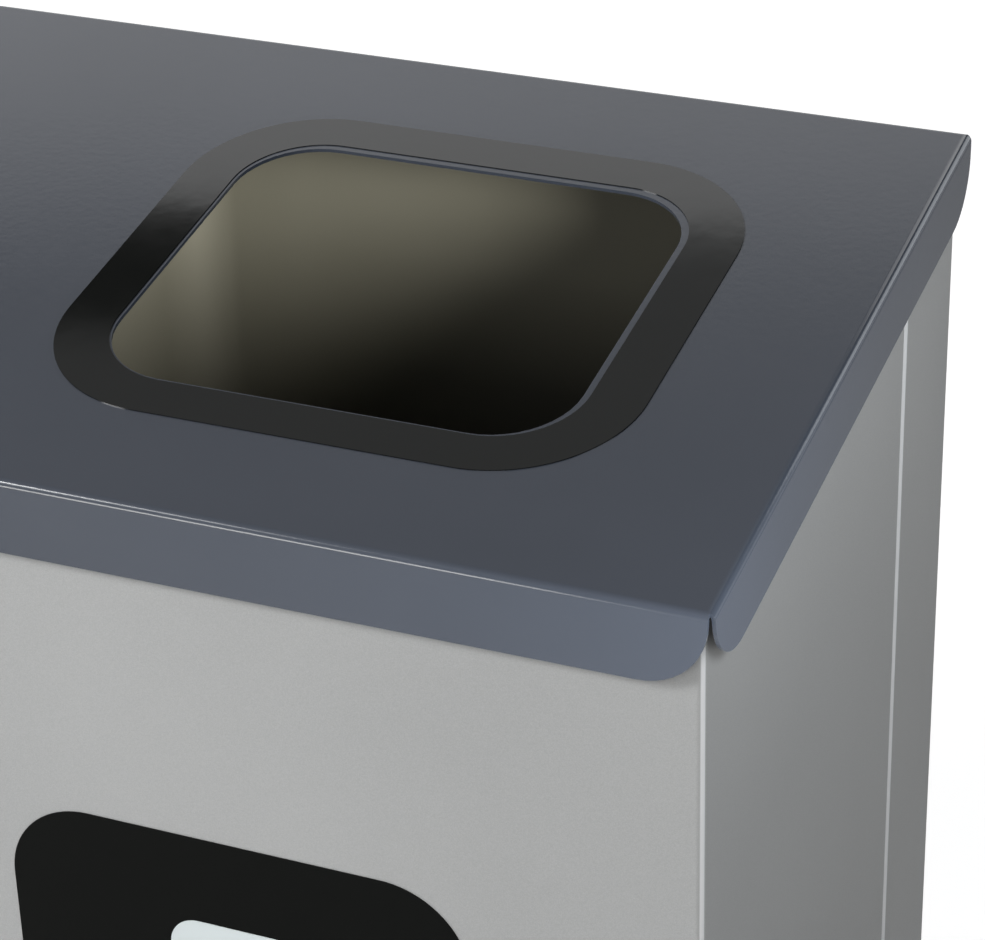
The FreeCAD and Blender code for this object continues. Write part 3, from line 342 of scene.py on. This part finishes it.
apron_glow = soft_light(
    "apron_glow",
    stands=(-0.4, -1.7, 0.66),
    faces=(-0.1, 0, 0.8),
    size=(0.7, 0.4),
    watts=8,
    colour=(1, 0.98, 0.93),
)
bend_line = soft_light(
    "bend_line",
    stands=(-0.62, -1.5, 2.1),
    faces=(0.3, -0.16, 0.85),
    size=(0.34, 0.34),
    watts=3,
)
bend_glow = soft_light(
    "bend_glow",
    stands=(1.16, 0.96, 1.18),
    faces=(0.56, 0, 0.87),
    size=(0.5, 0.5),
    watts=2,
    colour=(0.92, 0.96, 1),
)
liner_glow = soft_light(
    "liner_glow",
    stands=(1.38, -0.68, 1.24),
    faces=LID_MOUTH,
    size=(0.42, 0.42),
    watts=22,
    colour=LINER_WARMTH,
)
mouth_glow = soft_light(
    "mouth_glow",
    stands=(0.55, -1.2, 1.22),
    faces=LID_MOUTH,
    size=(0.3, 0.3),
    watts=1.6,
    colour=LINER_WARMTH,
)
print(len(bpy.data.lights), "lamps")

# %% [markdown]
# ## The floor
#
# A wide plane is enough for a studio floor. The camera sees it lifted almost to white, so that only
# the soft shadow under the station is left. What the cabinet and the lid mirror is another floor,
# which is bright behind the station and far away, and dark close to the front and to the right side.

# %% Floor
FLOOR_WIDTH = 30
FLOOR_LIGHT = 0.8
BEHIND_LIGHT = 0.75
FAR_LIGHT = 0.8
LEAST_LIGHT = 0.03
FLOOR_GREY = (0.62, 0.62, 0.62, 1)
BLACK = (0, 0, 0, 1)
WHITE = (1, 1, 1, 1)

bpy.ops.mesh.primitive_plane_add(size=FLOOR_WIDTH, location=(0, 0, 0))
floor = bpy.context.object
floor.name = "studio_floor"
floor_finish = Finish("studio_floor", Base_Color=FLOOR_GREY, Roughness=0.8, Emission_Strength=1)
floor_x, floor_y = (floor_finish.axis(number) for number in range(2))
behind_station = floor_finish.step(floor_y, 0.2, 1.1) * floor_finish.step(floor_x, 0.95, 0.45)
near_light = behind_station * BEHIND_LIGHT + LEAST_LIGHT
from_middle = floor_x * floor_x + floor_y * floor_y
far_light = floor_finish.step(from_middle, 8.0, 45.0) * FAR_LIGHT
mirrored = near_light + far_light * (1 - near_light)
looked_at = floor_finish.node("ShaderNodeLightPath", output="Is Camera Ray")
floor_glow = mirrored * (1 - looked_at) + looked_at * FLOOR_LIGHT
floor_finish.set(Emission_Color=floor_finish.between(floor_glow, BLACK, WHITE))
floor.data.materials.append(floor_finish.material)
print("the floor is", FLOOR_WIDTH, "m wide")

# %% [markdown]
# ## Anthracite powder coat
#
# Powder coat is a skin of melted paint: it is never quite flat, and that faint waviness, called
# orange peel, is what makes its reflections shimmer. A flat gloss would look like plastic film, so the
# peel is a shallow bump of two sizes of noise. A wide cloud of noise moves the colour a little, as
# dust and wiping do.


# %% Anthracite powder coat
def anthracite_coat(dark, light):
    """Semi-gloss paint with orange peel, its colour between a dark and a light one."""
    coat = Finish("lid_powder_coat", IOR=1.52)
    cloud = coat.noise(9, detail=3)
    coat.set(Base_Color=coat.ramp(cloud, [(0.3, dark), (0.7, light)]))
    coat.set(Roughness=0.13 + coat.noise(240, detail=2) * 0.03)
    peel = coat.noise(330, detail=2) + coat.noise(1100, detail=1) * 0.25
    return coat.set(Normal=coat.bump(peel, 0.035 * MM, 0.5))


FINISHES = {"lid_paint": anthracite_coat((0.046, 0.053, 0.068), (0.052, 0.059, 0.075))}
print("the lid's coat has", len(FINISHES["lid_paint"].tree.nodes), "nodes")

# %% [markdown]
# ## Silver powder coat
#
# The cabinet's coat is satin silver with metal flakes, which sparkle unevenly, so fine noise moves
# its colour, its roughness and its surface, and some of it counts as metal. Along the upright folds
# and beside the seam a painted highlight lightens the coat, where the rounded folds catch the light.
# Those lines could be painted on a texture, but a formula on the place keeps them sharp at any
# distance.

# %% The painted highlight lines of the cabinet
BODY_LOW, BODY_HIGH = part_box("front_shell")[0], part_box("back_panel")[1]
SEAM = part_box("back_panel")[0].y
BODY_MIDDLE = (BODY_LOW.y + BODY_HIGH.y) / 2
BODY_HALF_DEPTH = (BODY_HIGH.y - BODY_LOW.y) / 2
FOLD_LINE = {"half_width": 0.9 * MM, "fade": 0.8 * MM}
SEAM_LINE = {"half_width": 0.7 * MM, "fade": 0.6 * MM}
FOLD_LINE_SHIFT = 0.2 * MM
SEAM_LINE_SHIFT = 1.5 * MM


def band(finish, value, half_width, fade):
    """1 where value is near 0, falling to 0 past half_width."""
    return finish.step(abs(value), half_width + fade, half_width)


def painted_highlight_mask(finish):
    """Where the painted highlight goes: 1 along the crest of each upright fold and along the seams, 0
    elsewhere.
    """
    x, y = (finish.axis(number) for number in range(2))
    side = abs(x) - (BODY_HIGH.x - FOLD)
    depth = abs(y - BODY_MIDDLE)
    corner = band(finish, side - (depth - (BODY_HALF_DEPTH - FOLD)) + FOLD_LINE_SHIFT, **FOLD_LINE)
    seam = band(finish, y - (SEAM + SEAM_LINE_SHIFT), **SEAM_LINE)
    at_side = finish.node("ShaderNodeMath", {"operation": "GREATER_THAN"}, {0: side, 1: 0.0})
    return (corner + seam) * at_side


print("the seam is", round((BODY_HIGH.y - SEAM) / MM, 1), "mm from the cabinet's back")


# %% Silver powder coat
def silver_coat(dark, light, highlight_colour):
    """Satin metallic paint: fine flakes move its colour, its roughness and its surface."""
    coat = Finish("body_powder_coat", Metallic=0.35, IOR=1.45)
    flakes = coat.noise(2600, detail=1, roughness=0.7)
    cloud = coat.noise(6, detail=2)
    paint = coat.ramp(flakes * 0.7 + cloud * 0.3, [(0.32, dark), (0.68, light)])
    # Painted highlight: the coat turns light along the upright folds and beside the seam.
    coat.set(Base_Color=coat.between(painted_highlight_mask(coat), paint, (*highlight_colour, 1)))
    coat.set(Roughness=0.38 + flakes * 0.12)
    grain = flakes * 0.6 + coat.noise(700, detail=2)
    return coat.set(Normal=coat.bump(grain, 0.03 * MM, 0.5))


# The last colour is the painted highlight along the folds and the seam.
FINISHES["body_paint"] = silver_coat((0.38, 0.385, 0.385), (0.47, 0.476, 0.474), (0.86, 0.87, 0.88))
print("the cabinet's coat has", len(FINISHES["body_paint"].tree.nodes), "nodes")

# %% [markdown]
# ## Printed film
#
# The borders and the labels are printed film, stuck on. Film is much smoother than paint but takes on
# the ripples of its glue, so its reflections swim a little. The borders have a gloss film. The
# labels have a satin one, which hardly shines: the same finish, rougher and with less reflection.


# %% Films
def gloss_film(name, colour, roughness=0.045):
    """Adhesive film: smooth gloss with the ripples of the sheet it is stuck to."""
    film = Finish(name, IOR=1.5)
    print_cloud = film.noise(14, detail=2)
    darker = tuple(channel * 0.93 for channel in colour)
    film.set(Base_Color=film.ramp(print_cloud, [(0.3, darker), (0.7, colour)]))
    film.set(Roughness=roughness + film.noise(60, detail=2) * 0.02)
    ripple = film.noise(60, detail=2) + film.noise(420, detail=1) * 0.06
    return film.set(Normal=film.bump(ripple, 0.04 * MM, 0.3))


def satin_film(name, colour):
    """The labels' film: the same ripples under a surface that hardly shines."""
    film = gloss_film(name, colour, roughness=0.5)
    film.shader.inputs["Specular IOR Level"].default_value = 0.06
    return film


FILM_COLOURS = {
    "left": (0.012, 0.095, 0.33),
    "middle": (0.62, 0.40, 0.012),
    "right": (0.0045, 0.005, 0.0045),
}
FINISHES["symbol_film"] = satin_film("symbol_white", (0.66, 0.72, 0.73))
for stream, colour in FILM_COLOURS.items():
    FINISHES[f"surround_film_{stream}"] = gloss_film(f"surround_{stream}", colour)
    FINISHES[f"label_film_{stream}"] = satin_film(f"label_{stream}", colour)
print("films for", list(FILM_COLOURS))

# %% [markdown]
# ## Zinc, steel, rubber and plastic
#
# Hot-dip zinc sets in crystals, which a smooth Voronoi pattern gives, and rolling draws the sheet's
# clouds out into level lines. The fasteners' plating is the same finish, lighter and less rough. The
# liners have a plainer skin, because they are seen close up: even satin sheet, with painted shade that
# darkens it from its mouth down. Rubber and plastic have a fine moulded grain, whose tops are a little
# lighter.


# %% Zinc-coated sheet
def galvanised(name, dark, light, roughness):
    """Zinc-coated sheet: soft overlapping crystals and faint rolling lines."""
    zinc = Finish(name, Metallic=0.85)
    cells = {"Vector": zinc.place, "Scale": 55.0}
    crystals = zinc.node("ShaderNodeTexVoronoi", {"feature": "SMOOTH_F1"}, cells)
    rolled = zinc.noise(4, detail=4, at=zinc.stretched(1, 1, 30))
    mix = crystals * 0.5 + rolled * 0.5
    zinc.set(Base_Color=zinc.ramp(mix, [(0.25, dark), (0.75, light)]))
    zinc.set(Roughness=roughness + crystals * 0.12)
    return zinc.set(Normal=zinc.bump(rolled, 0.04 * MM, 0.4))


SHEET = {"dark": (0.36, 0.37, 0.37), "light": (0.50, 0.51, 0.50), "roughness": 0.34}
PLATING = {"dark": (0.52, 0.52, 0.49), "light": (0.66, 0.65, 0.60), "roughness": 0.25}
FINISHES["galvanised_steel"] = galvanised("galvanised_sheet", **SHEET)
FINISHES["zinc_steel"] = galvanised("zinc_plate", **PLATING)
print("two zinc finishes")

# %% Liner sheet
LINER_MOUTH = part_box("liner_right")[1].z
PAINTED_SHADE_DEPTH = 240 * MM
PAINTED_SHADE_FACTOR = 0.2


def liner_with_painted_shade(name, dark, light):
    """Liner sheet with an even satin skin, darkened from the mouth down by painted shade."""
    sheet = Finish(name, Metallic=0.3)
    clean = sheet.ramp(sheet.noise(5, detail=2), [(0.3, dark), (0.7, light)])
    # Painted shade: the base colour darkens from the liner's mouth down, where less light reaches.
    clear = sheet.step(sheet.axis(2), LINER_MOUTH - PAINTED_SHADE_DEPTH, LINER_MOUTH)
    shade_colour = tuple(channel * PAINTED_SHADE_FACTOR for channel in dark)
    sheet.set(Base_Color=sheet.between(clear, (*shade_colour, 1), clean))
    sheet.set(Roughness=0.5 + sheet.noise(40, detail=2) * 0.1)
    return sheet.set(Normal=sheet.bump(sheet.noise(300, detail=2), 0.02 * MM, 0.4))


FINISHES["liner_steel"] = liner_with_painted_shade("liner_sheet", (0.27, 0.265, 0.22), (0.30, 0.295, 0.25))
print("the liners' mouths are at z =", round(LINER_MOUTH, 4))


# %% Rubber and plastic
def moulded(name, colour, roughness):
    """Black rubber or plastic with a fine moulded grain."""
    skin = Finish(name)
    grain = skin.noise(900, detail=3)
    lighter = tuple(channel * 1.6 for channel in colour)
    skin.set(Base_Color=skin.ramp(grain, [(0.3, colour), (0.8, lighter)]))
    skin.set(Roughness=roughness + grain * 0.1)
    return skin.set(Normal=skin.bump(grain, 0.1 * MM, 0.4))


FINISHES["buffer_rubber"] = moulded("buffer_rubber_black", (0.012, 0.012, 0.012), 0.6)
FINISHES["foot_plastic"] = moulded("foot_plastic_black", (0.018, 0.018, 0.019), 0.45)
print(len(FINISHES), "finishes made")

# %% [markdown]
# ## Dressing the CAD nodes
#
# Every node gets the finish of its material slot, so a new colour is one change in one place. The
# borders, labels and symbols need nothing more: they are thin film, and the CAD has their true shape.


# %% One finish for each material slot
def dress(piece, slot_name):
    """Gives a piece the finish of a material slot, and nothing else."""
    piece.data.materials.clear()
    piece.data.materials.append(FINISHES[slot_name].material)


for node, slot_name in SLOTS.items():
    dress(NODES[node], slot_name)
print(len(SLOTS), "nodes dressed")

# %% [markdown]
# ## Sheet metal with real edges
#
# A cut edge of painted sheet is never sharp: the coat rounds it, and that tiny round catches a thread
# of light all round an opening. The CAD sheets are right in shape, so a merged copy of each keeps the
# shape and only gets its cut edges rounded. The copy's triangles are first melted back into whole
# faces, because a bevel that runs over loose triangles leaves spikes. Weighted normals come last:
# they keep the large faces flat and leave all the shading to the narrow rounds.


# %% Helpers for modelling
def only(piece):
    """Deselects everything, then selects and activates one piece."""
    bpy.ops.object.select_all(action="DESELECT")
    piece.select_set(True)
    bpy.context.view_layer.objects.active = piece


def use_modifier(piece, kind, **settings):
    """Adds a modifier, sets it up and applies it."""
    only(piece)
    modifier = piece.modifiers.new(kind.title(), kind)
    for name, value in settings.items():
        setattr(modifier, name, value)
    bpy.ops.object.modifier_apply(modifier=modifier.name)


def round_edges(piece, radius, segments, sharper_than):
    """Rounds every edge that turns by more than so many degrees."""
    limit = {"limit_method": "ANGLE", "angle_limit": math.radians(sharper_than)}
    use_modifier(piece, "BEVEL", width=radius, segments=segments, use_clamp_overlap=True, **limit)


def smooth(piece, angle):
    """Shades smooth over every edge that turns by less than so many degrees."""
    only(piece)
    bpy.ops.object.shade_smooth_by_angle(angle=math.radians(angle))


def keep(piece, node):
    """Gives a piece the body, the slot and the finish of a CAD node."""
    dress(piece, SLOTS[node])
    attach(piece, BODIES[node])
    return piece


# %% A sheet again, with rounded cut edges
MERGE_DISTANCE = 0.002 * MM
FLAT_WITHIN = math.radians(0.4)


def merged_copy(node, name):
    """A CAD node's shape as a new piece, its triangles merged into whole faces."""
    piece = bpy.data.objects.new(name, NODES[node].data.copy())
    bpy.context.scene.collection.objects.link(piece)
    only(piece)
    bpy.ops.object.mode_set(mode="EDIT")
    bpy.ops.mesh.select_all(action="SELECT")
    bpy.ops.mesh.customdata_custom_splitnormals_clear()
    bpy.ops.mesh.remove_doubles(threshold=MERGE_DISTANCE)
    bpy.ops.mesh.dissolve_limited(angle_limit=FLAT_WITHIN)
    bpy.ops.object.mode_set(mode="OBJECT")
    return piece


def round_cut_edges(node, radius):
    """A CAD node again, with its cut edges rounded, in the CAD node's place."""
    piece = merged_copy(node, node + "_edged")
    round_edges(piece, radius, segments=2, sharper_than=50)
    smooth(piece, 35)
    use_modifier(piece, "WEIGHTED_NORMAL", mode="FACE_AREA", weight=100, keep_sharp=True)
    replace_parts(keep(piece, node), node)
    return piece


def twin(piece, node, first_node):
    """A copy of a rounded piece with its own mesh, moved to where its like is in the CAD."""
    copy = bpy.data.objects.new(node + "_edged", piece.data.copy())
    copy.data.transform(Matrix.Translation(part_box(node)[0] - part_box(first_node)[0]))
    bpy.context.scene.collection.objects.link(copy)
    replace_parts(keep(copy, node), node)


# %% Every sheet, plate and pin, with the radius of its edges in millimetres
SINGLE = {
    "lid": 0.3,
    "lid_rib_left": 0.25,
    "lid_rib_right": 0.25,
    "front_shell": 0.3,
    "back_panel": 0.3,
    "base_tray": 0.3,
    "top_frame": 0.3,
    "divider_left": 0.25,
    "divider_right": 0.25,
    "liner_rail_front": 0.3,
    "liner_rail_rear": 0.3,
    "hinge_packers": 0.3,
    "foot_nuts": 0.5,
}
THREEFOLD = {"liner": 0.25, "hinge_leaf_fixed": 0.3, "hinge_leaf_moving": 0.3, "hinge_pin": 0.6}
for node, millimetres in SINGLE.items():
    piece = round_cut_edges(node, millimetres * MM)
    print(piece.name, "has", len(piece.data.polygons), "faces")
for family, millimetres in THREEFOLD.items():
    first = f"{family}_left"
    piece = round_cut_edges(first, millimetres * MM)
    for place in ("middle", "right"):
        twin(piece, f"{family}_{place}", first)
    print("three of", piece.name, "with", len(piece.data.polygons), "faces each")

# %% [markdown]
# ## Screws and rivets
#
# Dome-head screws with a hexagon socket hold the hinges to the cabinet and close its side seams, and
# blind rivets with a round hole in the head hold the hinges to the lid. One of each is modelled: a
# short cylinder is the head, a bevel domes its rim, its back face is extruded into the shank, and a
# cutter with six sides or many leaves the socket or the hole. The rest are copies, each put where the
# CAD has a screw or a rivet.


# %% A cylinder to start from
def start_cylinder(name, radius, depth, vertices):
    """A cylinder on the floor's middle, standing on z = 0, in edit mode with nothing selected."""
    bpy.ops.object.select_all(action="DESELECT")
    bpy.ops.mesh.primitive_cylinder_add(
        vertices=vertices, radius=radius, depth=depth, location=(0, 0, 0)
    )
    piece = bpy.context.object
    piece.name = name
    bpy.ops.object.mode_set(mode="EDIT")
    bpy.ops.transform.translate(value=(0, 0, depth / 2))
    bpy.ops.mesh.select_all(action="DESELECT")
    return piece


def pick_faces(piece, wanted):
    """Selects the faces for which wanted(face) is true, in edit mode."""
    bpy.ops.mesh.select_mode(type="FACE")
    mesh = bmesh.from_edit_mesh(piece.data)
    for face in mesh.faces:
        face.select_set(wanted(face))
    mesh.select_flush_mode()
    bmesh.update_edit_mesh(piece.data)


def pick_edges(piece, wanted):
    """Selects the edges for which wanted(edge) is true, in edit mode."""
    bpy.ops.mesh.select_mode(type="EDGE")
    mesh = bmesh.from_edit_mesh(piece.data)
    for edge in mesh.edges:
        edge.select_set(wanted(edge))
    bmesh.update_edit_mesh(piece.data)


def facing_up(face):
    return face.normal.z > 0.9


def facing_down(face):
    return face.normal.z < -0.9


def extrude(distance):
    """Extrudes the selected faces by distance along z."""
    bpy.ops.mesh.extrude_region_move(TRANSFORM_OT_translate={"value": (0, 0, distance)})


def widen(factor):
    """Scales what is selected about its own middle, across z."""
    bpy.ops.transform.resize(value=(factor, factor, 1))


def combine(piece, other, operation):
    """Adds the other shape to the piece or takes it out, and removes the other."""
    use_modifier(piece, "BOOLEAN", operation=operation, solver="EXACT", object=other)
    bpy.data.objects.remove(other)


def placed_copy(master, name, matrix, node):
    """A copy with its own mesh, its place written into that mesh, on the CAD node's body."""
    piece = bpy.data.objects.new(name, master.data.copy())
    piece.data.transform(matrix)
    bpy.context.scene.collection.objects.link(piece)
    return keep(piece, node)


# %% One screw or rivet
HEAD_RADIUS = 4 * MM
HEAD_HEIGHT = 1.6 * MM
DOME = {"offset": HEAD_HEIGHT * 0.8, "segments": 4, "profile": 0.55}
SHANK_RADIUS = 2 * MM
HOLE_DEPTH = 1.1 * MM
CUTTER_DEPTH = 2 * MM
HEXAGON_SOCKET = {"radius": 1.45 * MM, "vertices": 6}
RIVET_HOLE = {"radius": 1.1 * MM, "vertices": 24}


def on_top_rim(edge):
    return all(vertex.co.z > HEAD_HEIGHT * 0.9 for vertex in edge.verts)


def model_screw(name, shank, hole):
    """A dome-head screw or rivet along z, its head's underside at z = 0."""
    screw = start_cylinder(name, HEAD_RADIUS, HEAD_HEIGHT, vertices=32)
    pick_edges(screw, on_top_rim)
    bpy.ops.mesh.bevel(**DOME)
    pick_faces(screw, facing_down)
    bpy.ops.mesh.inset(thickness=HEAD_RADIUS - SHANK_RADIUS)
    extrude(-shank)
    bpy.ops.object.mode_set(mode="OBJECT")
    cutter = start_cylinder("hole_cutter", depth=CUTTER_DEPTH, **hole)
    bpy.ops.object.mode_set(mode="OBJECT")
    cutter.data.transform(Matrix.Translation((0, 0, HEAD_HEIGHT - HOLE_DEPTH)))
    combine(screw, cutter, "DIFFERENCE")
    smooth(screw, 40)
    return screw


# %% Where the CAD has its screws
def loose_solids(node):
    """The low and the high corner of each separate solid of a CAD node."""
    mesh = bmesh.new()
    mesh.from_mesh(NODES[node].data)
    bmesh.ops.remove_doubles(mesh, verts=mesh.verts, dist=0.01 * MM)
    left = set(mesh.verts)
    solids = []
    while left:
        stack, found = [left.pop()], []
        while stack:
            vertex = stack.pop()
            found.append(vertex.co.copy())
            for edge in vertex.link_edges:
                other = edge.other_vert(vertex)
                if other in left:
                    left.remove(other)
                    stack.append(other)
        low = Vector(min(co[i] for co in found) for i in range(3))
        high = Vector(max(co[i] for co in found) for i in range(3))
        solids.append((low, high))
    mesh.free()
    return sorted(solids, key=lambda pair: tuple(round(v, 4) for v in pair[0]))


def fit_screws(node, name, head_at_back, hole):
    """Puts a screw or rivet where each solid of the node is, its head facing the back or the front."""
    solids = loose_solids(node)
    low, high = solids[0]
    shank = high.y - low.y - HEAD_HEIGHT
    master = model_screw(name + "_master", shank, hole)
    turn = Matrix.Rotation(math.radians(-90 if head_at_back else 90), 4, "X")
    for number, (low, high) in enumerate(solids, start=1):
        middle = (low + high) / 2
        seat = high.y - HEAD_HEIGHT if head_at_back else low.y + HEAD_HEIGHT
        place = Matrix.Translation((middle.x, seat, middle.z)) @ turn
        piece = placed_copy(master, f"{name}_{number}", place, node)
        if number == 1:
            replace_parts(piece, node)
    bpy.data.objects.remove(master)
    print(len(solids), name, "pieces, shank", round(shank / MM, 2), "mm")


fit_screws("hinge_screws_body", "hinge_screw", True, HEXAGON_SOCKET)
fit_screws("hinge_rivets_lid", "hinge_rivet", True, RIVET_HOLE)
fit_screws("seam_screws", "seam_screw", False, HEXAGON_SOCKET)

# %% [markdown]
# ## Levelling feet
#
# A foot is a moulded pad with a grip ring, so that it can be turned by hand. The pad starts as a
# low cylinder. Its top is inset and raised in two steps and sunk again for the socket in which the
# stud stands, every second face of the ring is pushed in to leave the ribs, and a bevel rounds all
# the rims. It stays inside the CAD pad's box.

# %% One foot pad
pad_low, pad_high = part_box("foot_pad_front_left")
PAD_RADIUS = (pad_high.x - pad_low.x) / 2
PAD_HEIGHT = pad_high.z - pad_low.z
RING_HEIGHT = PAD_HEIGHT * 0.4
SHOULDER_RISE = PAD_HEIGHT * 0.2
NECK_RISE = PAD_HEIGHT * 0.4
SOCKET_DEPTH = PAD_HEIGHT * 0.6
RIM_WIDTH = PAD_RADIUS * 0.1
NECK_WALL = PAD_RADIUS * 0.14
SHOULDER_TAPER = 0.86
NECK_TAPER = 0.66
STUD_RADIUS = 5 * MM
SOCKET_PLAY = 0.1 * MM
RIBS = 30
RIB_MARGIN = 0.35 * MM
GROOVE_SHRINK = 0.965
PAD_ROUND = 0.35 * MM


def on_ring(face):
    """True for the upright faces of the ring, false for those of the neck and the socket."""
    middle = face.calc_center_median()
    upright = abs(face.normal.z) < 0.1
    return upright and middle.z < RING_HEIGHT and middle.xy.length > PAD_RADIUS * 0.9


def direction(face):
    """The way a face looks from the pad's middle, as an angle."""
    middle = face.calc_center_median()
    return math.atan2(middle.y, middle.x)


def groove_faces(pad):
    """The numbers of every second face round the ring."""
    mesh = bmesh.from_edit_mesh(pad.data)
    ring = sorted(filter(on_ring, mesh.faces), key=direction)
    return {face.index for face in ring[::2]}


def model_foot_pad():
    """A ribbed pad standing on z = 0, with a socket in its top for the stud."""
    pad = start_cylinder("foot_pad_master", PAD_RADIUS, RING_HEIGHT, vertices=2 * RIBS)
    pick_faces(pad, facing_up)
    bpy.ops.mesh.inset(thickness=RIM_WIDTH)
    extrude(SHOULDER_RISE)
    widen(SHOULDER_TAPER)
    extrude(NECK_RISE)
    widen(NECK_TAPER)
    bpy.ops.mesh.inset(thickness=NECK_WALL)
    neck_inside = (PAD_RADIUS - RIM_WIDTH) * SHOULDER_TAPER * NECK_TAPER - NECK_WALL
    widen((STUD_RADIUS + SOCKET_PLAY) / neck_inside)
    extrude(-SOCKET_DEPTH)
    grooves = groove_faces(pad)
    pick_faces(pad, lambda face: face.index in grooves)
    bpy.ops.mesh.inset(thickness=RIB_MARGIN, use_individual=True)
    bpy.ops.transform.resize(value=(GROOVE_SHRINK, GROOVE_SHRINK, 1), center_override=(0, 0, 0))
    bpy.ops.object.mode_set(mode="OBJECT")
    round_edges(pad, PAD_ROUND, segments=2, sharper_than=40)
    smooth(pad, 40)
    return pad


# %% The four pads
pad_master = model_foot_pad()
for place in CORNERS:
    low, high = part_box(f"foot_pad_{place}")
    move = Matrix.Translation(((low.x + high.x) / 2, (low.y + high.y) / 2, low.z))
    pad = placed_copy(pad_master, f"foot_ribbed_{place}", move, f"foot_pad_{place}")
    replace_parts(pad, f"foot_pad_{place}")
print("a pad has", len(pad_master.data.polygons), "faces")
bpy.data.objects.remove(pad_master)

# %% [markdown]
# ## Threaded studs
#
# A rolled thread catches the light in fine rings. The stud grows from a short cylinder: its top face
# is raised half a pitch at a time and narrowed or widened in turn, which leaves one ring for each
# turn of the thread. A true helix would take many more faces for a part that is mostly hidden. A
# hexagon with its corners eased is joined on for the spanner.

# %% One stud
THREAD_PITCH = 1.5 * MM
THREAD_ROOT = 0.86
stud_low, stud_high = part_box("foot_stud_front_left")
HEXAGON_LOW = pad_high.z + 0.3 * MM
HEXAGON_HEIGHT = 6 * MM
HEXAGON_RADIUS = 9.5 * MM
HEXAGON_EASE = 0.8 * MM


def level(edge):
    return abs(edge.verts[0].co.z - edge.verts[1].co.z) < 0.1 * MM


def model_stud():
    """A threaded stud with a hexagon, its lower end at the CAD stud's height."""
    turns = round((stud_high.z - stud_low.z) / THREAD_PITCH)
    half = (stud_high.z - stud_low.z) / (2 * turns)
    stud = start_cylinder("stud_master", STUD_RADIUS, half, vertices=28)
    pick_faces(stud, facing_up)
    for step in range(2 * turns - 1):
        widen(THREAD_ROOT if step % 2 == 0 else 1 / THREAD_ROOT)
        extrude(half)
    bpy.ops.object.mode_set(mode="OBJECT")
    stud.data.transform(Matrix.Translation((0, 0, stud_low.z)))
    hexagon = start_cylinder("hexagon", HEXAGON_RADIUS, HEXAGON_HEIGHT, vertices=6)
    pick_edges(hexagon, level)
    bpy.ops.mesh.bevel(offset=HEXAGON_EASE, segments=2)
    bpy.ops.object.mode_set(mode="OBJECT")
    hexagon.data.transform(Matrix.Translation((0, 0, HEXAGON_LOW)))
    combine(stud, hexagon, "UNION")
    smooth(stud, 25)
    return stud


# %% The four studs
stud_master = model_stud()
for place in CORNERS:
    low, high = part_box(f"foot_stud_{place}")
    move = Matrix.Translation(((low.x + high.x) / 2, (low.y + high.y) / 2, 0))
    stud = placed_copy(stud_master, f"foot_threaded_{place}", move, f"foot_stud_{place}")
    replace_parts(stud, f"foot_stud_{place}")
print("a stud has", len(stud_master.data.polygons), "faces")
bpy.data.objects.remove(stud_master)

# %% [markdown]
# ## Lid buffers
#
# The closed lid rests on four rubber buffers. Each is a soft peg with a foot, a waist and a domed
# head, so it starts as a short cylinder and grows upwards by extruding and scaling its top face.

# %% One buffer
BUFFER_RADIUS = 7 * MM
buffer_solids = loose_solids("lid_buffers")
tilt = Matrix.Rotation(LID_SLOPE, 4, "X")
low, high = buffer_solids[0]
BUFFER_HEIGHT = (high.z - low.z - 2 * BUFFER_RADIUS * math.sin(LID_SLOPE)) / math.cos(LID_SLOPE)
FOOT_RISE = BUFFER_HEIGHT * 0.2
TAPER_RISE = BUFFER_HEIGHT * 0.1
WAIST_RISE = BUFFER_HEIGHT * 0.3
HEAD_RISE = BUFFER_HEIGHT * 0.3
WAIST = 0.72
SWELL = 1.3
BUFFER_ROUND = 0.9 * MM


def model_buffer():
    """A waisted peg with a domed head, standing on z = 0."""
    peg = start_cylinder("buffer_master", BUFFER_RADIUS, FOOT_RISE, vertices=40)
    pick_faces(peg, facing_up)
    extrude(TAPER_RISE)
    widen(WAIST)
    extrude(WAIST_RISE)
    extrude(TAPER_RISE)
    widen(SWELL)
    extrude(HEAD_RISE)
    bpy.ops.object.mode_set(mode="OBJECT")
    round_edges(peg, BUFFER_ROUND, segments=3, sharper_than=30)
    smooth(peg, 60)
    return peg


# %% The four buffers
peg_master = model_buffer()
for number, (low, high) in enumerate(buffer_solids, start=1):
    base = (low + high) / 2 - tilt.to_3x3() @ Vector((0, 0, BUFFER_HEIGHT / 2))
    stand = Matrix.Translation(base) @ tilt
    peg = placed_copy(peg_master, f"lid_buffer_{number}", stand, "lid_buffers")
    if number == 1:
        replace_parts(peg, "lid_buffers")
bpy.data.objects.remove(peg_master)
print("a buffer is", round(BUFFER_HEIGHT / MM, 1), "mm tall")

# %% [markdown]
# ## Which piece receives which light
#
# In a studio, a flag keeps stray light off a surface. Light linking does that here: the key,
# the fill and the side lamp stay out of the liners, the key and the side lamp leave the lid alone,
# and the lamps for the lid's edges and for the liners reach nothing else. Every piece still casts
# its shadow.


# %% Flags
def share_light(light, objects, only_these):
    """The light reaches only these objects, or everything except them."""
    group = bpy.data.collections.new(light.name + "_flag")
    for item in objects:
        group.objects.link(item)
    if not only_these:
        for entry in group.collection_objects:
            entry.light_linking.link_state = "EXCLUDE"
    light.light_linking.receiver_collection = group


liner_pieces = [bpy.data.objects[f"liner_{stream}_edged"] for stream in STREAMS]
lid_pieces = [bpy.data.objects["lid_edged"]]
share_light(key, liner_pieces + lid_pieces, only_these=False)
share_light(fill, liner_pieces, only_these=False)
share_light(side_glow, lid_pieces + liner_pieces, only_these=False)
for light in (corner_glow, apron_glow, bend_line, bend_glow):
    share_light(light, lid_pieces, only_these=True)
for light in (liner_glow, mouth_glow):
    share_light(light, liner_pieces, only_these=True)
print("each of", len(bpy.data.lights), "lamps knows its pieces")
